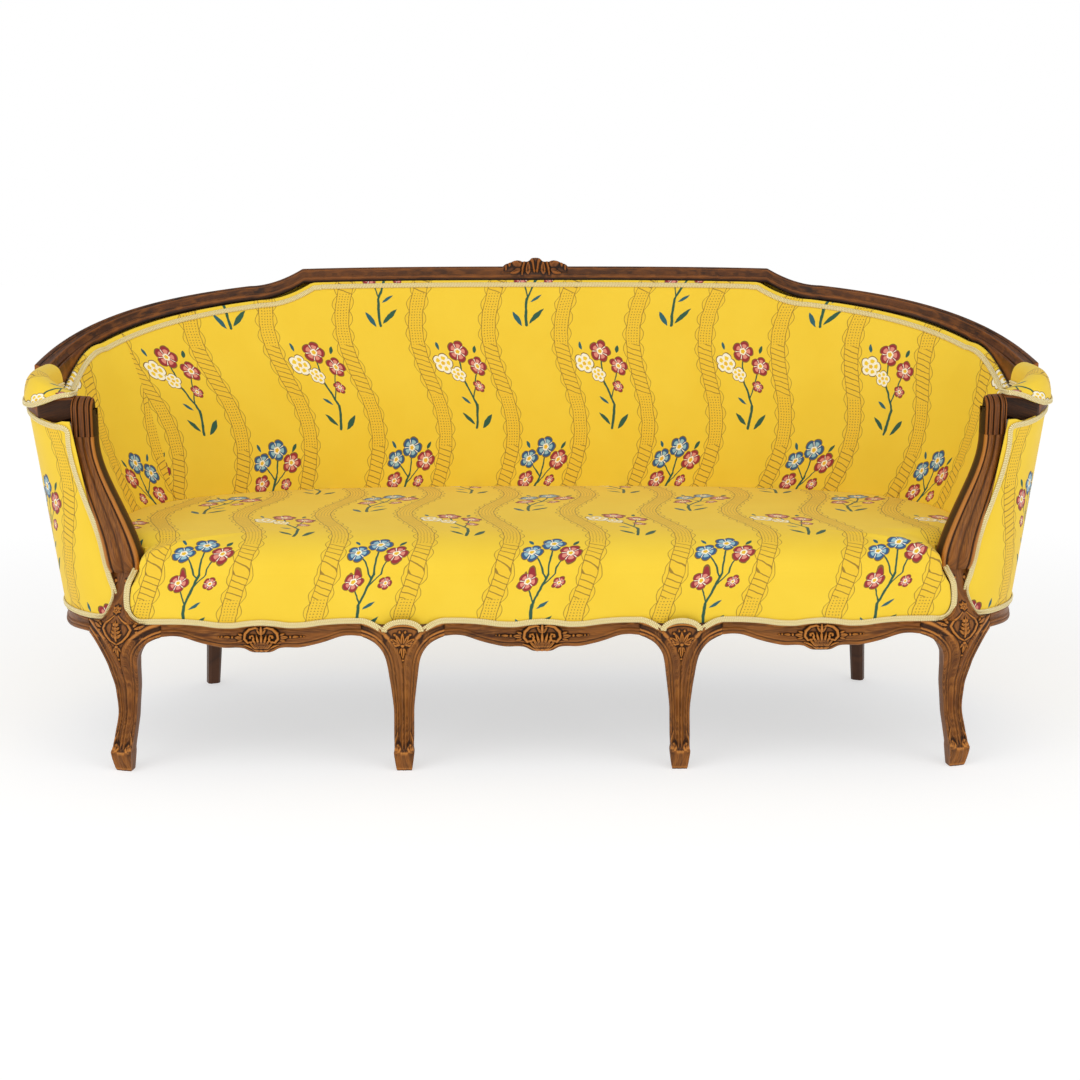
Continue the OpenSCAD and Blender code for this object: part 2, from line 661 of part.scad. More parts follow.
// Place along the wall of angle t, and the ring of a section there. Between shared angles a ring is straight.
function along(t) =
    let (i = turn_slot(t), f = (t - wall_ts[i]) / (wall_ts[i + 1] - wall_ts[i])) mix(wall_lines[i], wall_lines[i + 1], f);
function turn_slot(t, i = 0) = i >= wall_last - 1 || t > wall_ts[i + 1] ? i : turn_slot(t, i + 1);
function line_slot(v, i = 0) = i >= wall_last - 1 || v < wall_lines[i + 1] ? i : line_slot(v, i + 1);
function layer_ring(v, section) =
    let (
        side = v < 0 ? -1 : 1,
        i = line_slot(abs(v)),
        f = (abs(v) - wall_lines[i]) / (wall_lines[i + 1] - wall_lines[i]),
        a = [for (q = section(wall_ts[i])) wall_at(side, wall_ts[i], q[1], q[0])],
        b = [for (q = section(wall_ts[i + 1])) wall_at(side, wall_ts[i + 1], q[1], q[0])]
    )
    [for (k = [0:len(a) - 1]) mix(a[k], b[k], f)];
// Rings of a layer between two places, with one at every shared angle between them.
function wall_rings(v0, v1, section) =
    let (inside = concat([for (i = [wall_last:-1:1]) -wall_lines[i]], wall_lines))
    concat(
        [layer_ring(v0, section)],
        [for (v = inside) if (v > v0 + probe && v < v1 - probe) layer_ring(v, section)],
        [layer_ring(v1, section)]
    );
function top_of(t) = wall_top(t) - soft_gap * (t > shoulder_turn + 1 ? 3 : 7);
// The hidden layers end a little lower under the arm rails.
function layer_top(t) = top_of(t) - (t <= pad_turn ? 12 * soft_gap : 0);
function box_section(near, far, low, high = 0) = function(t)
    let (z = high > 0 ? high : near > 0 ? layer_top(t) : top_of(t))
    [[even_set(far), low], [even_set(near), low], [even_set(near), z], [even_set(far), z]];

// Corner posts rise from the rear legs and inner posts from the rear rail.
post_w = 44;
inner_post_x = middle_leg_gap / 2 + post_w;
rear_post_v = along(rear_leg_turn);
inner_post_v = along(t_at(inner_post_x, seat_h));
module post(v) {
    color(beech) skin(wall_rings(v - post_w / 2, v + post_w / 2, box_section(post_set, post_set + post_t, rail_top_h)));
}
module back_post_right() post(rear_post_v);
module back_post_left() left() post(rear_post_v);
module inner_post_right() post(inner_post_v);
module inner_post_left() left() post(inner_post_v);

// Tacking rails between the posts, over the seat, that the bottom of the inner back is fixed to.
tack_rise = 50;
tack_low = rail_top_h + tack_rise;
tack_h = 32;
post_clear = post_w / 2 + soft_gap;
module tacking_rail(v0, v1) {
    color(beech) skin(wall_rings(v0, v1, box_section(post_set, post_set + post_t, tack_low, tack_low + tack_h)));
}
module back_tacking_rail() tacking_rail(post_clear - inner_post_v, inner_post_v - post_clear);
module side_tacking_rail_right() tacking_rail(inner_post_v + post_clear, rear_post_v - post_clear);
module side_tacking_rail_left() left() side_tacking_rail_right();
module arm_tacking_rail_right() tacking_rail(rear_post_v + post_clear, wall_end - post_w);
module arm_tacking_rail_left() left() arm_tacking_rail_right();

// Webbing over the seat rails, first along and then across.
web_margin = rebate + rail_t * 0.3;
function side_line(y, set) =
    y >= center_y
    ? (wall_a(rail_h) - set) * pow(1 - pow((y - center_y) / (wall_b(rail_h) - set), corner_power), 1 / corner_power)
    : wall_a(rail_h) - corner_w + (corner_w - set) * sqrt(1 - pow((center_y - y) / (corner_d - set), 2));
module seat_webbing_long() {
    y0 = center_y - corner_d + rail_t + web_w;
    y1 = center_y + wall_b(rail_h) - rail_t - web_w;
    color(jute) for (i = [0:web_rows - 1]) {
        y = mix(y0, y1, i / (web_rows - 1));
        x = min(side_line(y - web_w / 2, web_margin), side_line(y + web_w / 2, web_margin));
        translate([-x, y - web_w / 2, rail_top_h + soft_gap]) cube([2 * x, web_w, web_t]);
    }
}
module seat_webbing_cross() {
    reach = wall_a(rail_h) - corner_w - web_w / 2;
    y0 = center_y - corner_d + web_margin;
    color(jute) for (i = [0:web_n - 1]) {
        x = mix(-reach, reach, i / (web_n - 1));
        y1 = back_line(abs(x) + web_w / 2, web_margin);
        translate([x - web_w / 2, y0, rail_top_h + 2 * soft_gap + web_t]) cube([web_w, y1 - y0, web_t]);
    }
}

// Outline of the seat frame, set in all round.
plan_steps = 16;
function frame_outline(set) = concat(
    [for (i = [0:plan_steps]) plan(turn(1 - i / plan_steps, 90), rail_h, set)],
    [for (i = [1:plan_steps]) let (p = plan(turn(i / plan_steps, 90), rail_h, set)) [-p.x, p.y]]
);
hessian_z = rail_top_h + 3 * soft_gap + 2 * web_t;
module seat_hessian() {
    color(jute) difference() {
        translate([0, 0, hessian_z]) linear_extrude(hessian_t) polygon(frame_outline((rebate + cover_t) * [1, 1, 1]));
        for (m = [0, 1], v = [inner_post_v, rear_post_v]) mirror([m, 0, 0]) post_notch(v);
        for (m = [0, 1])
            mirror([m, 0, 0])
                translate([front_half(seat_h) - rail_t, front_y, hessian_z - over])
                    cube([overall_w / 2, knee_out + head_back + knuckle_depth * 0.5, hessian_t + 2 * over]);
    }
}
module post_notch(v) {
    ring = layer_ring(v, box_section(post_set, post_set + post_t, hessian_z));
    d = ring[0] - ring[1];
    translate([ring[1].x, ring[1].y, hessian_z - over])
        rotate([0, 0, atan2(d.y, d.x)])
            translate([-rail_t, -post_clear - 2 * over, 0])
                cube([rail_t + post_t + 6 * over, 2 * (post_clear + 2 * over), hessian_t + 2 * over]);
}
// Dark cloth under the seat, tacked to the bottom of the rails.
module dust_cover() {
    color(black) translate([0, 0, rail_low_h - hessian_t - soft_gap])
        linear_extrude(hessian_t) difference() {
            polygon(frame_outline([rail_t / 2, rail_t / 2, head_back * 1.2]));
            leg_notch();
            mirror([1, 0]) leg_notch();
        }
}
module leg_notch() {
    h = rear_leg_w / 2 + over;
    corners = [[-h, -over], [h, -over], [h, rear_leg_w + over], [-h, rear_leg_w + over]];
    polygon([for (q = corners) let (r = rear_at(q.x, q.y, 0)) [r.x, r.y]]);
}

// The stuffed seat. Its edge runs along the front, round the arm supports and along the inner faces of the walls.
seat_back_y = center_y + wall_b(seat_h) - back_wall_t;
seat_mid_y = (front_y + seat_back_y) / 2;
seat_crown = 6;
seat_tuck = 28;
front_x_shares = [0, 0.2, 0.4, 0.6, 0.78, 0.9, 0.962, 1];
corner_n = 7;
// Inner side of the arm support at height z, and of the post below it.
function post_front(p) = mix(leg_front(1), support_y - front_y - knee_out, ease(p));
function post_side(p, side) =
    frame_at(
        corner_leg_u - (corner_leg_u - support_x) * 0.6 * p + side * knee_reach * smooth(p, post_shares),
        post_front(p) + post_depth * (side < 0 ? 0.8 : 0.3), 0
    ).x;
function post_share(z) = clamp01((z - rail_h) / (support_low_h - rail_h));
function support_corner(s) =
    let (r = support_ring(s)) [min(r[0].x, r[10].x), max(r[0].y, r[1].y)];
toe_gap = 2 * rebate;
function front_half(z) =
    mix(
        post_side(post_share(min(z, rail_top_h)), -1), support_corner(0.1).x,
        clamp01((z - rail_top_h) / (support_low_h - toe_gap - rail_top_h))
    );
function support_rear(z) = support_corner(clamp01((z - support_low_h) / (support_h - support_low_h))).y;
function seat_edge(i, set, z) =
    i <= corner_n ? [(front_half(z) - 2 * soft_gap - set) * front_x_shares[i], front_y + knee_out + set]
    : i == corner_n + 1 ? [front_half(support_low_h) - 2 * soft_gap - set, front_y + knee_out + set + toe_gap]
    : i == corner_n + 2 ? [front_half(z) - 2 * soft_gap - set, support_rear(z) + 2 * soft_gap + set]
    : let (t = wall_ts[wall_last - (i - corner_n - 3)])
    plan(t, z, plus(inner_set(t, z), set + 3 * soft_gap));
edge_count = corner_n + 3 + wall_last + 1;
function seat_loop(r, share, set, floor_z) = [
    for (k = [0:2 * edge_count - 3])
        let (
            right = k < edge_count,
            i = right ? k : 2 * edge_count - 2 - k,
            free = i <= corner_n + 1 ? 1 : 0,
            q = i < corner_n ? r : min(r, 1),
            high = seat_h - seat_crown * r * r - set,
            z = mix(mix(seat_h - seat_tuck, floor_z, free), high, share),
            e = seat_edge(i, set, z)
        )
        [(right ? 1 : -1) * e.x * min(r, 1), seat_mid_y + (e.y - seat_mid_y) * q, z]
];
// Distance out from the middle of the seat and height over its edge, as shares, from the edge to the middle.
dome_shares = [[1, 0], [1.012, 0.3], [1.008, 0.5], [0.985, 0.68], [0.945, 0.82], [0.87, 0.92], [0.7, 0.98], [0.4, 1]];
module seat_cover() {
    base = rail_h + soft_gap;
    color(yellow) skin(concat(
        [for (j = [7, 6, 4, 2, 0]) seat_loop(dome_shares[j].x, dome_shares[j].y, cover_t, base)],
        [for (s = dome_shares) seat_loop(s.x, s.y, 0, base)]
    ));
}
function seat_floor(r, set, z) = [
    for (k = [0:2 * edge_count - 3])
        let (
            right = k < edge_count,
            i = right ? k : 2 * edge_count - 2 - k,
            e = seat_edge(i, set, z),
            x = i <= corner_n + 2 ? min(e.x, front_half(support_low_h) - 2 * soft_gap - set) : e.x
        )
        [(right ? 1 : -1) * x * r, seat_mid_y + (e.y - seat_mid_y) * r, z]
];
module seat_stuffing() {
    set = cover_t + 2 * soft_gap;
    floor_z = hessian_z + hessian_t + soft_gap;
    color(linen) skin(concat(
        [seat_floor(0.6, set, floor_z), seat_floor(1, set, floor_z)],
        [for (j = [2, 4, 6, 7]) seat_loop(dome_shares[j].x, dome_shares[j].y, set, rail_h)]
    ));
}

// Covers and fillings of the walls. Each ring of a wall is a list of distances in and heights.
back_webs = 8;
// Heights that the inner layers share, from the seat to the top rail.
face_shares = [0, 0.25, 0.5, 0.75, 0.9, 1];
function face_line(t, set, high) = [
    for (s = face_shares) let (z = mix(seat_h, high, s)) [plus(face_set(t, z), set), z]
];
function backwards(v) = [for (i = [len(v) - 1:-1:0]) v[i]];
function cover_section() = function(t)
    let (low = face_set(t, wall_low))
    concat(
        [[low, wall_low], [plus(low, -cover_t), wall_low]],
        face_line(t, -cover_t, top_of(t)),
        backwards(face_line(t, 0, top_of(t)))
    );
function stuffing_section() = function(t) concat(
    [[even_set(stuffing_set), tack_low], [even_set(stuffing_set), layer_top(t)]],
    backwards(face_line(t, -cover_t - 2 * soft_gap, layer_top(t))),
    [[plus(face_set(t, tack_low), -cover_t - 2 * soft_gap), tack_low]]
);
module outer_back_cover() {
    color(yellow) skin(wall_rings(-rear_post_v, rear_post_v, box_section(0, cover_t, outer_low)));
}
outer_low = rail_h + soft_gap;
seam_v = along(seam_turn);
stuffing_v = wall_lines[wall_last - 2];
// Outer side of the arm support, and of the post below it, at height z.
function support_out(z) =
    z >= support_low_h - 2 * toe_gap
    ? let (r = support_ring(clamp01((z - support_low_h) / (support_h - support_low_h)))) max(r[1].x, r[2].x)
    : post_side(post_share(z), 1);
// Angle where the outer panel meets that side.
function panel_turn(z) =
    -max(front_turn, acos(min(1, (support_out(z) + 2 * soft_gap - wall_a(z) + wall_cw(z)) / wall_cw(z))));
panel_shares = [0, 0.1, 0.22, 0.36, 0.55, 0.77, 1];
function panel_section() = function(t)
    let (high = top_of(t))
    concat(
        [for (f = panel_shares) [even_set(0), mix(outer_low, high, f)]],
        backwards([for (f = panel_shares) [even_set(cover_t), mix(outer_low, high, f)]])
    );
module outer_arm_cover_right() {
    section = panel_section();
    color(yellow) skin(concat(
        wall_rings(rear_post_v, wall_end, section),
        [
            for (f = [0.5, 1])
                [for (q = section(-front_turn)) wall_at(1, mix(-front_turn, panel_turn(q[1]), f), q[1], q[0])]
        ]
    ));
}
module outer_arm_cover_left() left() outer_arm_cover_right();
module inner_back_cover() {
    color(yellow) skin(wall_rings(-seam_v, seam_v, cover_section()));
}
module inner_arm_cover_right() {
    color(yellow) skin(wall_rings(seam_v, wall_end, cover_section()));
}
module inner_arm_cover_left() left() inner_arm_cover_right();
module back_stuffing() {
    color(linen) skin(wall_rings(-stuffing_v, stuffing_v, stuffing_section()));
}
module back_hessian() {
    color(jute) skin(wall_rings(
        -stuffing_v, stuffing_v, box_section(hessian_set, hessian_set + hessian_t, tack_low)
    ));
}
module back_webbing() {
    color(jute) for (i = [-back_webs:back_webs]) {
        v = stuffing_v * i / (back_webs + 0.5);
        skin(wall_rings(v - web_w / 2, v + web_w / 2, box_section(web_set, web_set + web_t, tack_low)));
    }
}

// Arm pads: a stuffed roll over each arm rail, rounded at its front.
pad_shares = [[-0.5, 0], [0.5, 0], [0.52, 0.3], [0.42, 0.72], [0.2, 0.96], [-0.04, 1], [-0.28, 0.9], [-0.47, 0.5]];
pad_height_shares = [[0, 1], [0.3, 0.96], [0.7, 0.86], [0.88, 0.7], [0.96, 0.48], [1, 0.2]];
pad_end_turn = -asin((pad_l + center_y - plan(pad_turn, knuckle_h).y) / arm_corner_d);
pad_place_shares = [0, 0.15, 0.3, 0.45, 0.6, 0.72, 0.82, 0.9, 0.96, 1];
function pad_ring(s) =
    let (
        t = mix(pad_turn, pad_end_turn, s),
        o = facing(t, knuckle_h),
        c = arm_line(t),
        h = (rail_z(pad_turn) - arm_top(pad_turn)) * smooth(s, pad_height_shares) - soft_gap,
        w = top_rail_w * (s > 0.8 ? sqrt(max(0.2, 1 - pow((s - 0.8) / 0.23, 2))) : 1)
    )
    [for (q = pad_shares) [c.x + q.x * w * o.x, c.y + q.x * w * o.y, c.z + soft_gap + q.y * h]];
module arm_pad_right() {
    color(yellow) skin([for (s = pad_place_shares) pad_ring(s)]);
}
module arm_pad_left() left() arm_pad_right();

// Braid: a flat band with a rounded face, laid along a line. Each place holds a point and its outward direction.
braid_shares = [[-0.3, 1], [0.3, 1], [0.5, 0], [-0.5, 0]];
module ribbon(places) {
    n = len(places);
    skin([
        for (i = [0:n - 1])
            let (
                d = places[min(i + 1, n - 1)][0] - places[max(i - 1, 0)][0],
                t = d / norm(d),
                s = cross(t, places[i][1]),
                side = s / norm(s),
                up = cross(side, t)
            )
            [for (q = braid_shares) places[i][0] + q.x * gimp_w * side + q.y * gimp_t * up]
    ]);
}
function frame_out(u) = let (a = frame_at(u, 0, 0), b = frame_at(u, -probe, 0)) (b - a) / probe;
function edge_high(u) =
    let (
        v = abs(u),
        mid = (bay_in + bay_out) / 2,
        half = (bay_out - bay_in) / 2
    )
    v <= middle_leg_gap / 2 - knee_reach ? apron_high(v / (middle_leg_gap / 2 - knee_reach))
    : v < bay_in ? rail_h
    : v <= bay_out ? apron_high(abs(v - mid) / half)
    : rail_h;
gimp_steps = 36;
// Places of the braid beside the post over a corner leg: share of its height, share of the reach of the knee.
post_braid_shares = [[0.12, 0.4], [0.26, 0.28], [0.5, 0.24], [0.78, 0.3]];
function seat_gimp_half() = concat(
    [
        for (i = [0:gimp_steps])
            let (u = (corner_leg_u - knee_reach * 0.72) * i / gimp_steps)
            [frame_at(u, -4 * soft_gap, edge_high(u) + gimp_w / 2 + soft_gap), frame_out(u)]
    ],
    [
        for (q = post_braid_shares)
            let (u = corner_leg_u - knee_reach * q.y - gimp_w / 2, out = 4 * soft_gap + rebate * 0.7 * min(1, 2 * q.x))
            [frame_at(u, -out, mix(rail_h, support_low_h, q.x) + gimp_w * 0.4), frame_out(u)]
    ]
);
function flip(p) = [[-p[0].x, p[0].y, p[0].z], [-p[1].x, p[1].y, p[1].z]];
module gimp_seat() {
    half = seat_gimp_half();
    n = len(half);
    color(braid) ribbon(concat([for (i = [n - 1:-1:1]) flip(half[i])], half));
}
function lines_between(v0, v1) = [for (v = wall_lines) if (v >= v0 && v <= v1) v];
gimp_back_v = wall_end - rail_t;
module gimp_back() {
    half = [
        for (v = lines_between(probe, gimp_back_v))
            let (l = norm(face_top(v)[1] - face_top(v)[0])) face_place(v, 1 - gimp_w * 0.6 / l)
    ];
    color(braid) ribbon(concat([for (i = [len(half) - 1:-1:0]) half[i]], [for (p = half) flip(p)]));
}
function face_top(v) = layer_ring(v, function(t) let (l = face_line(t, 0, top_of(t)), n = len(l)) [l[n - 2], l[n - 1]]);
function face_place(v, f) =
    let (
        r = face_top(v),
        n = face_top(v + probe),
        out = cross(n[1] - r[1], r[1] - r[0]),
        o = out / norm(out)
    )
    [mix(r[0], r[1], f) + 3 * soft_gap * o, o];
function outer_place(v, z) =
    let (
        t = function(z) function(t) [[even_set(0), z]],
        p = layer_ring(v, t(z))[0],
        q = layer_ring(v + probe, t(z))[0],
        u = layer_ring(v, t(z + probe))[0],
        out = cross(u - p, q - p),
        o = out / norm(out)
    )
    [p + 2 * soft_gap * o, o];
function panel_place(t, z) =
    let (
        p = wall_at(1, t, z, even_set(0)),
        q = wall_at(1, t + turn_probe, z, even_set(0)),
        u = wall_at(1, t, z + probe, even_set(0)),
        out = cross(q - p, u - p),
        o = out / norm(out)
    )
    [p + 6 * soft_gap * o, o];
function outer_top(v) = layer_ring(v, function(t) [[even_set(0), top_of(t)]])[0].z;
module gimp_outer_arm_right() {
    low = rail_h + gimp_w * 0.6;
    back_off = 4;
    lines = lines_between(rear_post_v - probe, wall_end - 2 * gimp_w);
    color(braid) ribbon(concat(
        [for (v = lines) outer_place(v, low)],
        [
            for (f = [0.04, 0.12, 0.22, 0.36, 0.55, 0.77, 0.95])
                let (z = mix(low, outer_top(wall_end), f)) panel_place(panel_turn(z) + back_off, z)
        ],
        [for (v = backwards(lines)) outer_place(v, outer_top(v) - gimp_w * 0.6)]
    ));
}
module gimp_outer_arm_left() left() gimp_outer_arm_right();
module gimp_arm_pad_right() {
    n = 8;
    function side_place(s, k) =
        let (t = mix(pad_turn, pad_end_turn, s), o = facing(t, knuckle_h), c = arm_line(t))
        [
            [c.x + k * o.x * top_rail_w * 0.56, c.y + k * o.y * top_rail_w * 0.56, c.z + gimp_w * 0.6],
            k * k < 1 ? [o.y, -o.x, 0] : [k * o.x, k * o.y, 0]
        ];
    color(braid) ribbon(concat(
        [for (i = [0:n]) side_place(0.9 * i / n, 1)],
        [side_place(1.06, 0.5), side_place(1.06, -0.5)],
        [for (i = [n:-1:0]) side_place(0.9 * i / n, -1)]
    ));
}
module gimp_arm_pad_left() left() gimp_arm_pad_right();

front_leg_outer_left();
front_leg_outer_right();
front_leg_inner_left();
front_leg_inner_right();
rear_leg_left();
rear_leg_right();
apron_left();
apron_center();
apron_right();
side_rail_left();
side_rail_right();
rear_rail();
seat_stretcher_left();
seat_stretcher_right();
crest_rail();
top_rail_left();
top_rail_right();
arm_rail_left();
arm_rail_right();
arm_support_left();
arm_support_right();
back_post_left();
back_post_right();
inner_post_left();
inner_post_right();
back_tacking_rail();
side_tacking_rail_left();
side_tacking_rail_right();
arm_tacking_rail_left();
arm_tacking_rail_right();
corner_blocks();
corner_block_screws();
seat_webbing_cross();
seat_webbing_long();
seat_hessian();
seat_stuffing();
seat_cover();
dust_cover();
back_webbing();
back_hessian();
back_stuffing();
inner_back_cover();
inner_arm_cover_left();
inner_arm_cover_right();
outer_back_cover();
outer_arm_cover_left();
outer_arm_cover_right();
arm_pad_left();
arm_pad_right();
gimp_seat();
gimp_back();
gimp_outer_arm_left();
gimp_outer_arm_right();
gimp_arm_pad_left();
gimp_arm_pad_right();
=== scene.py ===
# A cabriole sofa: carved walnut show-wood frame, tight stuffed seat, curved back and arms, printed cotton, braid.
# Shapes are numpy surfaces in millimetres, made metres when they go into a mesh. Axes as in the frame.
import math

import bpy
import numpy as np
from mathutils import Euler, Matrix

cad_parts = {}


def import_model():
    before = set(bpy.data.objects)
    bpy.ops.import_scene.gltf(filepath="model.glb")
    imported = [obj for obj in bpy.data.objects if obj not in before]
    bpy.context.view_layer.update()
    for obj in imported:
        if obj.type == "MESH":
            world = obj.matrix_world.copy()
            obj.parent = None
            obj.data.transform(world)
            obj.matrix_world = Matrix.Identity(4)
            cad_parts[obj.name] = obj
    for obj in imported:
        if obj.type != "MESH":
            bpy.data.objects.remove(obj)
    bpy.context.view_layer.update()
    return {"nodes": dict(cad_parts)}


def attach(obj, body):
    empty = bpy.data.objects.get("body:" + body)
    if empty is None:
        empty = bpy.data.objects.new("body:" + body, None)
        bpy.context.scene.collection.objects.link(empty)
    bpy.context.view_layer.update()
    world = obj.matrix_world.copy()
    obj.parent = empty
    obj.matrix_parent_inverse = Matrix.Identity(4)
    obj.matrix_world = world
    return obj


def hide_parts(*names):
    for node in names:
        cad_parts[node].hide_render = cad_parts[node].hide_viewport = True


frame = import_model()
MM = 0.001

# ---------------------------------------------------------------- sizes of the frame, in millimetres
OVERALL_W, OVERALL_D, CREST_H, SEAT_H, ARM_H = 2036.0, 785.0, 922.0, 455.0, 744.0
SIDE_LEAN, BACK_LEAN, CORNER_POWER = math.radians(8.4), math.radians(7.6), 2.9
CORNER_W, ARM_CORNER_W, CORNER_D, ARM_CORNER_D = 200.0, 165.0, 230.0, 140.0
RAIL_H, RAIL_LOW_H, RAIL_T = 292.0, 258.0, 34.0
LEG_GAP, CORNER_U, ANKLE_W, FOOT_W, KNEE_REACH, LEG_SWEEP = 532.0068, 806.0, 38.5, 28.6, 80.0, 18.0
TOP_W, TOP_T, SHOULDER_DROP, CREST_HALF, CREST_BOW = 50.0, 30.0, 36.0, 410.0, 3.5
CRESTING_W, CRESTING_H = 146.0, 20.0
KNUCKLE_H, SUPPORT_H, SUPPORT_LOW, KNUCKLE_W, SUPPORT_W = 710.0, 634.0, 385.0, 44.0, 67.0
KNUCKLE_Y, KNUCKLE_X, SUPPORT_X, SUPPORT_BACK = 120.0, 881.0, 797.0, 35.0
ARM_RAIL_T, PAD_H, PAD_END, HOLD_TURN = 24.0, 38.0, -44.0, 6.0
ARM_WALL, BACK_WALL, TOP_WALL, BACK_CROWN = 118.0, 83.0, 55.0, 10.0
FRONT_LOW, FRONT_TOP, FRONT_TURN = 46.0, 62.0, 62.0
FRONT_Y, BACK_Y = -OVERALL_D / 2, OVERALL_D / 2
CENTER_Y = FRONT_Y + 250.0
KNEE_OUT, CUSP, EAR = 20.0, 36.0, 0.9015
NECK_H, NECK_HALF, REAR_LEG_HALF = 356.0, 761.7, 18.6
SHOULDER_T, STEP_T, PAD_T, DEEPEN_T, REAR_LEG_T = 68.7, 60.7, 4.0, 24.0, 47.9
STEP_H = CREST_H - CREST_BOW - SHOULDER_DROP
ARM_SEAT = KNUCKLE_H - ARM_RAIL_T
GIMP_W, GIMP_T, GAP, WALL_LOW = 10.5, 3.2, 0.3, 350.9
deg = math.pi / 180


def mix(a, b, s):
    return a + (b - a) * s


def unit(s):
    return np.clip(s, 0, 1)


def ease(s):
    s = unit(s)
    return s * s * (3 - 2 * s)


def bump(d, w):
    """A round bead: height 1 at d = 0, falling as a half circle to 0 at distance w."""
    return np.sqrt(np.clip(1 - (d / w) ** 2, 0, 1))


def table(x, rows):
    """Smooth curve through rows of rising places and values, flat where the values turn."""
    rows = np.array(rows, float)
    p, v = rows[:, 0], rows[:, 1]
    rise = np.diff(v) / np.diff(p)
    m = np.concatenate([[rise[0]], (rise[1:] + rise[:-1]) / 2 * (rise[1:] * rise[:-1] > 0), [rise[-1]]])
    x = np.clip(np.asarray(x, float), p[0], p[-1])
    i = np.clip(np.searchsorted(p, x, side="right") - 1, 0, len(p) - 2)
    h = p[i + 1] - p[i]
    s = (x - p[i]) / h
    return (v[i] * (1 + 2 * s) * (1 - s) ** 2 + m[i] * h * s * (1 - s) ** 2
            + v[i + 1] * s * s * (3 - 2 * s) + m[i + 1] * h * s * s * (s - 1))


def smooth(rows, times, first=1, last=None):
    """The rows from first to last, each made the mean of itself and its two neighbours, that many times over."""
    last = len(rows) - 1 if last is None else last
    for _ in range(times):
        rows[first:last] = (rows[first - 1:last - 1] + rows[first:last] + rows[first + 1:last + 1]) / 3


# ---------------------------------------------------------------- the plan of the sofa
def wall_a(z):
    return OVERALL_W / 2 + (z - ARM_H) * math.tan(SIDE_LEAN)


def wall_b(z):
    return BACK_Y - CENTER_Y + (z - CREST_H) * math.tan(BACK_LEAN)


def corner_size(z, low, high):
    return mix(low, high, unit((z - RAIL_H) / (KNUCKLE_H - RAIL_H)))


def plan(t, z, s=(0, 0, 0)):
    """Leaning superellipse with rounded front corners: t is 90 at the middle of the back, 0 at the widest point and
    below 0 on the front corner. s is how far inside the outer wall: at the side, at the back and at the corner."""
    t, z = np.broadcast_arrays(np.asarray(t, float), np.asarray(z, float))
    c, n = np.clip(np.cos(t * deg), 0, 1), np.clip(np.sin(t * deg), 0, 1)
    cw, cd = corner_size(z, CORNER_W, ARM_CORNER_W), corner_size(z, CORNER_D, ARM_CORNER_D)
    x1 = (wall_a(z) - s[0]) * c ** (2 / CORNER_POWER)
    y1 = CENTER_Y + (wall_b(z) - s[1]) * n ** (2 / CORNER_POWER)
    x2 = wall_a(z) - cw + (cw - s[0]) * np.cos(t * deg)
    y2 = CENTER_Y + (cd - s[2]) * np.sin(t * deg)
    back = t >= 0
    return np.where(back, x1, x2), np.where(back, y1, y2)


def facing(t, z):
    """Outward direction of the plan: its tangent turned by a right angle."""
    t = np.asarray(t, float)
    a, b = np.minimum(t + 0.5, 90), np.minimum(t + 0.5, 90) - 1
    xa, ya = plan(a, z)
    xb, yb = plan(b, z)
    dx, dy = xb - xa, yb - ya
    n = np.hypot(dx, dy)
    return -dy / n, dx / n


def rail_z(t):
    """Height of the outer edge of the top rail: a low bow, the shoulder step, then a long fall to the arm."""
    t = np.asarray(t, float)
    s = unit((SHOULDER_T - t) / (SHOULDER_T - STEP_T))
    crest = CREST_H - CREST_BOW * ((90 - t) / (90 - SHOULDER_T)) ** 2
    step = CREST_H - CREST_BOW - SHOULDER_DROP * (1 - (1 - s) ** 2)
    f = unit(t / STEP_T)
    run = mix(ARM_H, STEP_H, f + 0.12 * f * np.sin(math.pi * f))
    return np.where(t >= SHOULDER_T, crest, np.where(t >= STEP_T, step, run))


def wall_top(t):
    t = np.asarray(t, float)
    high = rail_z(DEEPEN_T) - TOP_T
    down = mix(ARM_SEAT, high, ease(t / DEEPEN_T))
    front = ARM_SEAT - ARM_RAIL_T * ease(-t / FRONT_TURN)
    return np.where(t >= DEEPEN_T, rail_z(t) - TOP_T, np.where(t >= 0, down, front))


def inner_set(t, z):
    s = (z - SEAT_H) / (wall_top(t) - SEAT_H)
    return mix(ARM_WALL, TOP_WALL, s), mix(BACK_WALL, TOP_WALL, s), mix(FRONT_LOW, FRONT_TOP, s)


def even(s):
    return s ** 1.45 / (s ** 1.45 + (1 - s) ** 1.45)


def frame_path():
    """The seat frame's face at rail height, from the middle of the front round to the middle of the back."""
    t1 = np.arange(-90, 0, 1.0)
    t2 = 90 * even(np.linspace(0, 1, 181))
    t = np.concatenate([t1, t2])
    x, y = plan(t, RAIL_H)
    x, y = np.concatenate([[0], x]), np.concatenate([[CENTER_Y - CORNER_D], y])
    u = np.concatenate([[0], np.cumsum(np.hypot(np.diff(x), np.diff(y)))])
    return u, x, y, np.concatenate([[-90], t])


PATH_U, PATH_X, PATH_Y, PATH_T = frame_path()
REAR_U = float(np.interp(REAR_LEG_T, PATH_T[1:], PATH_U[1:]))


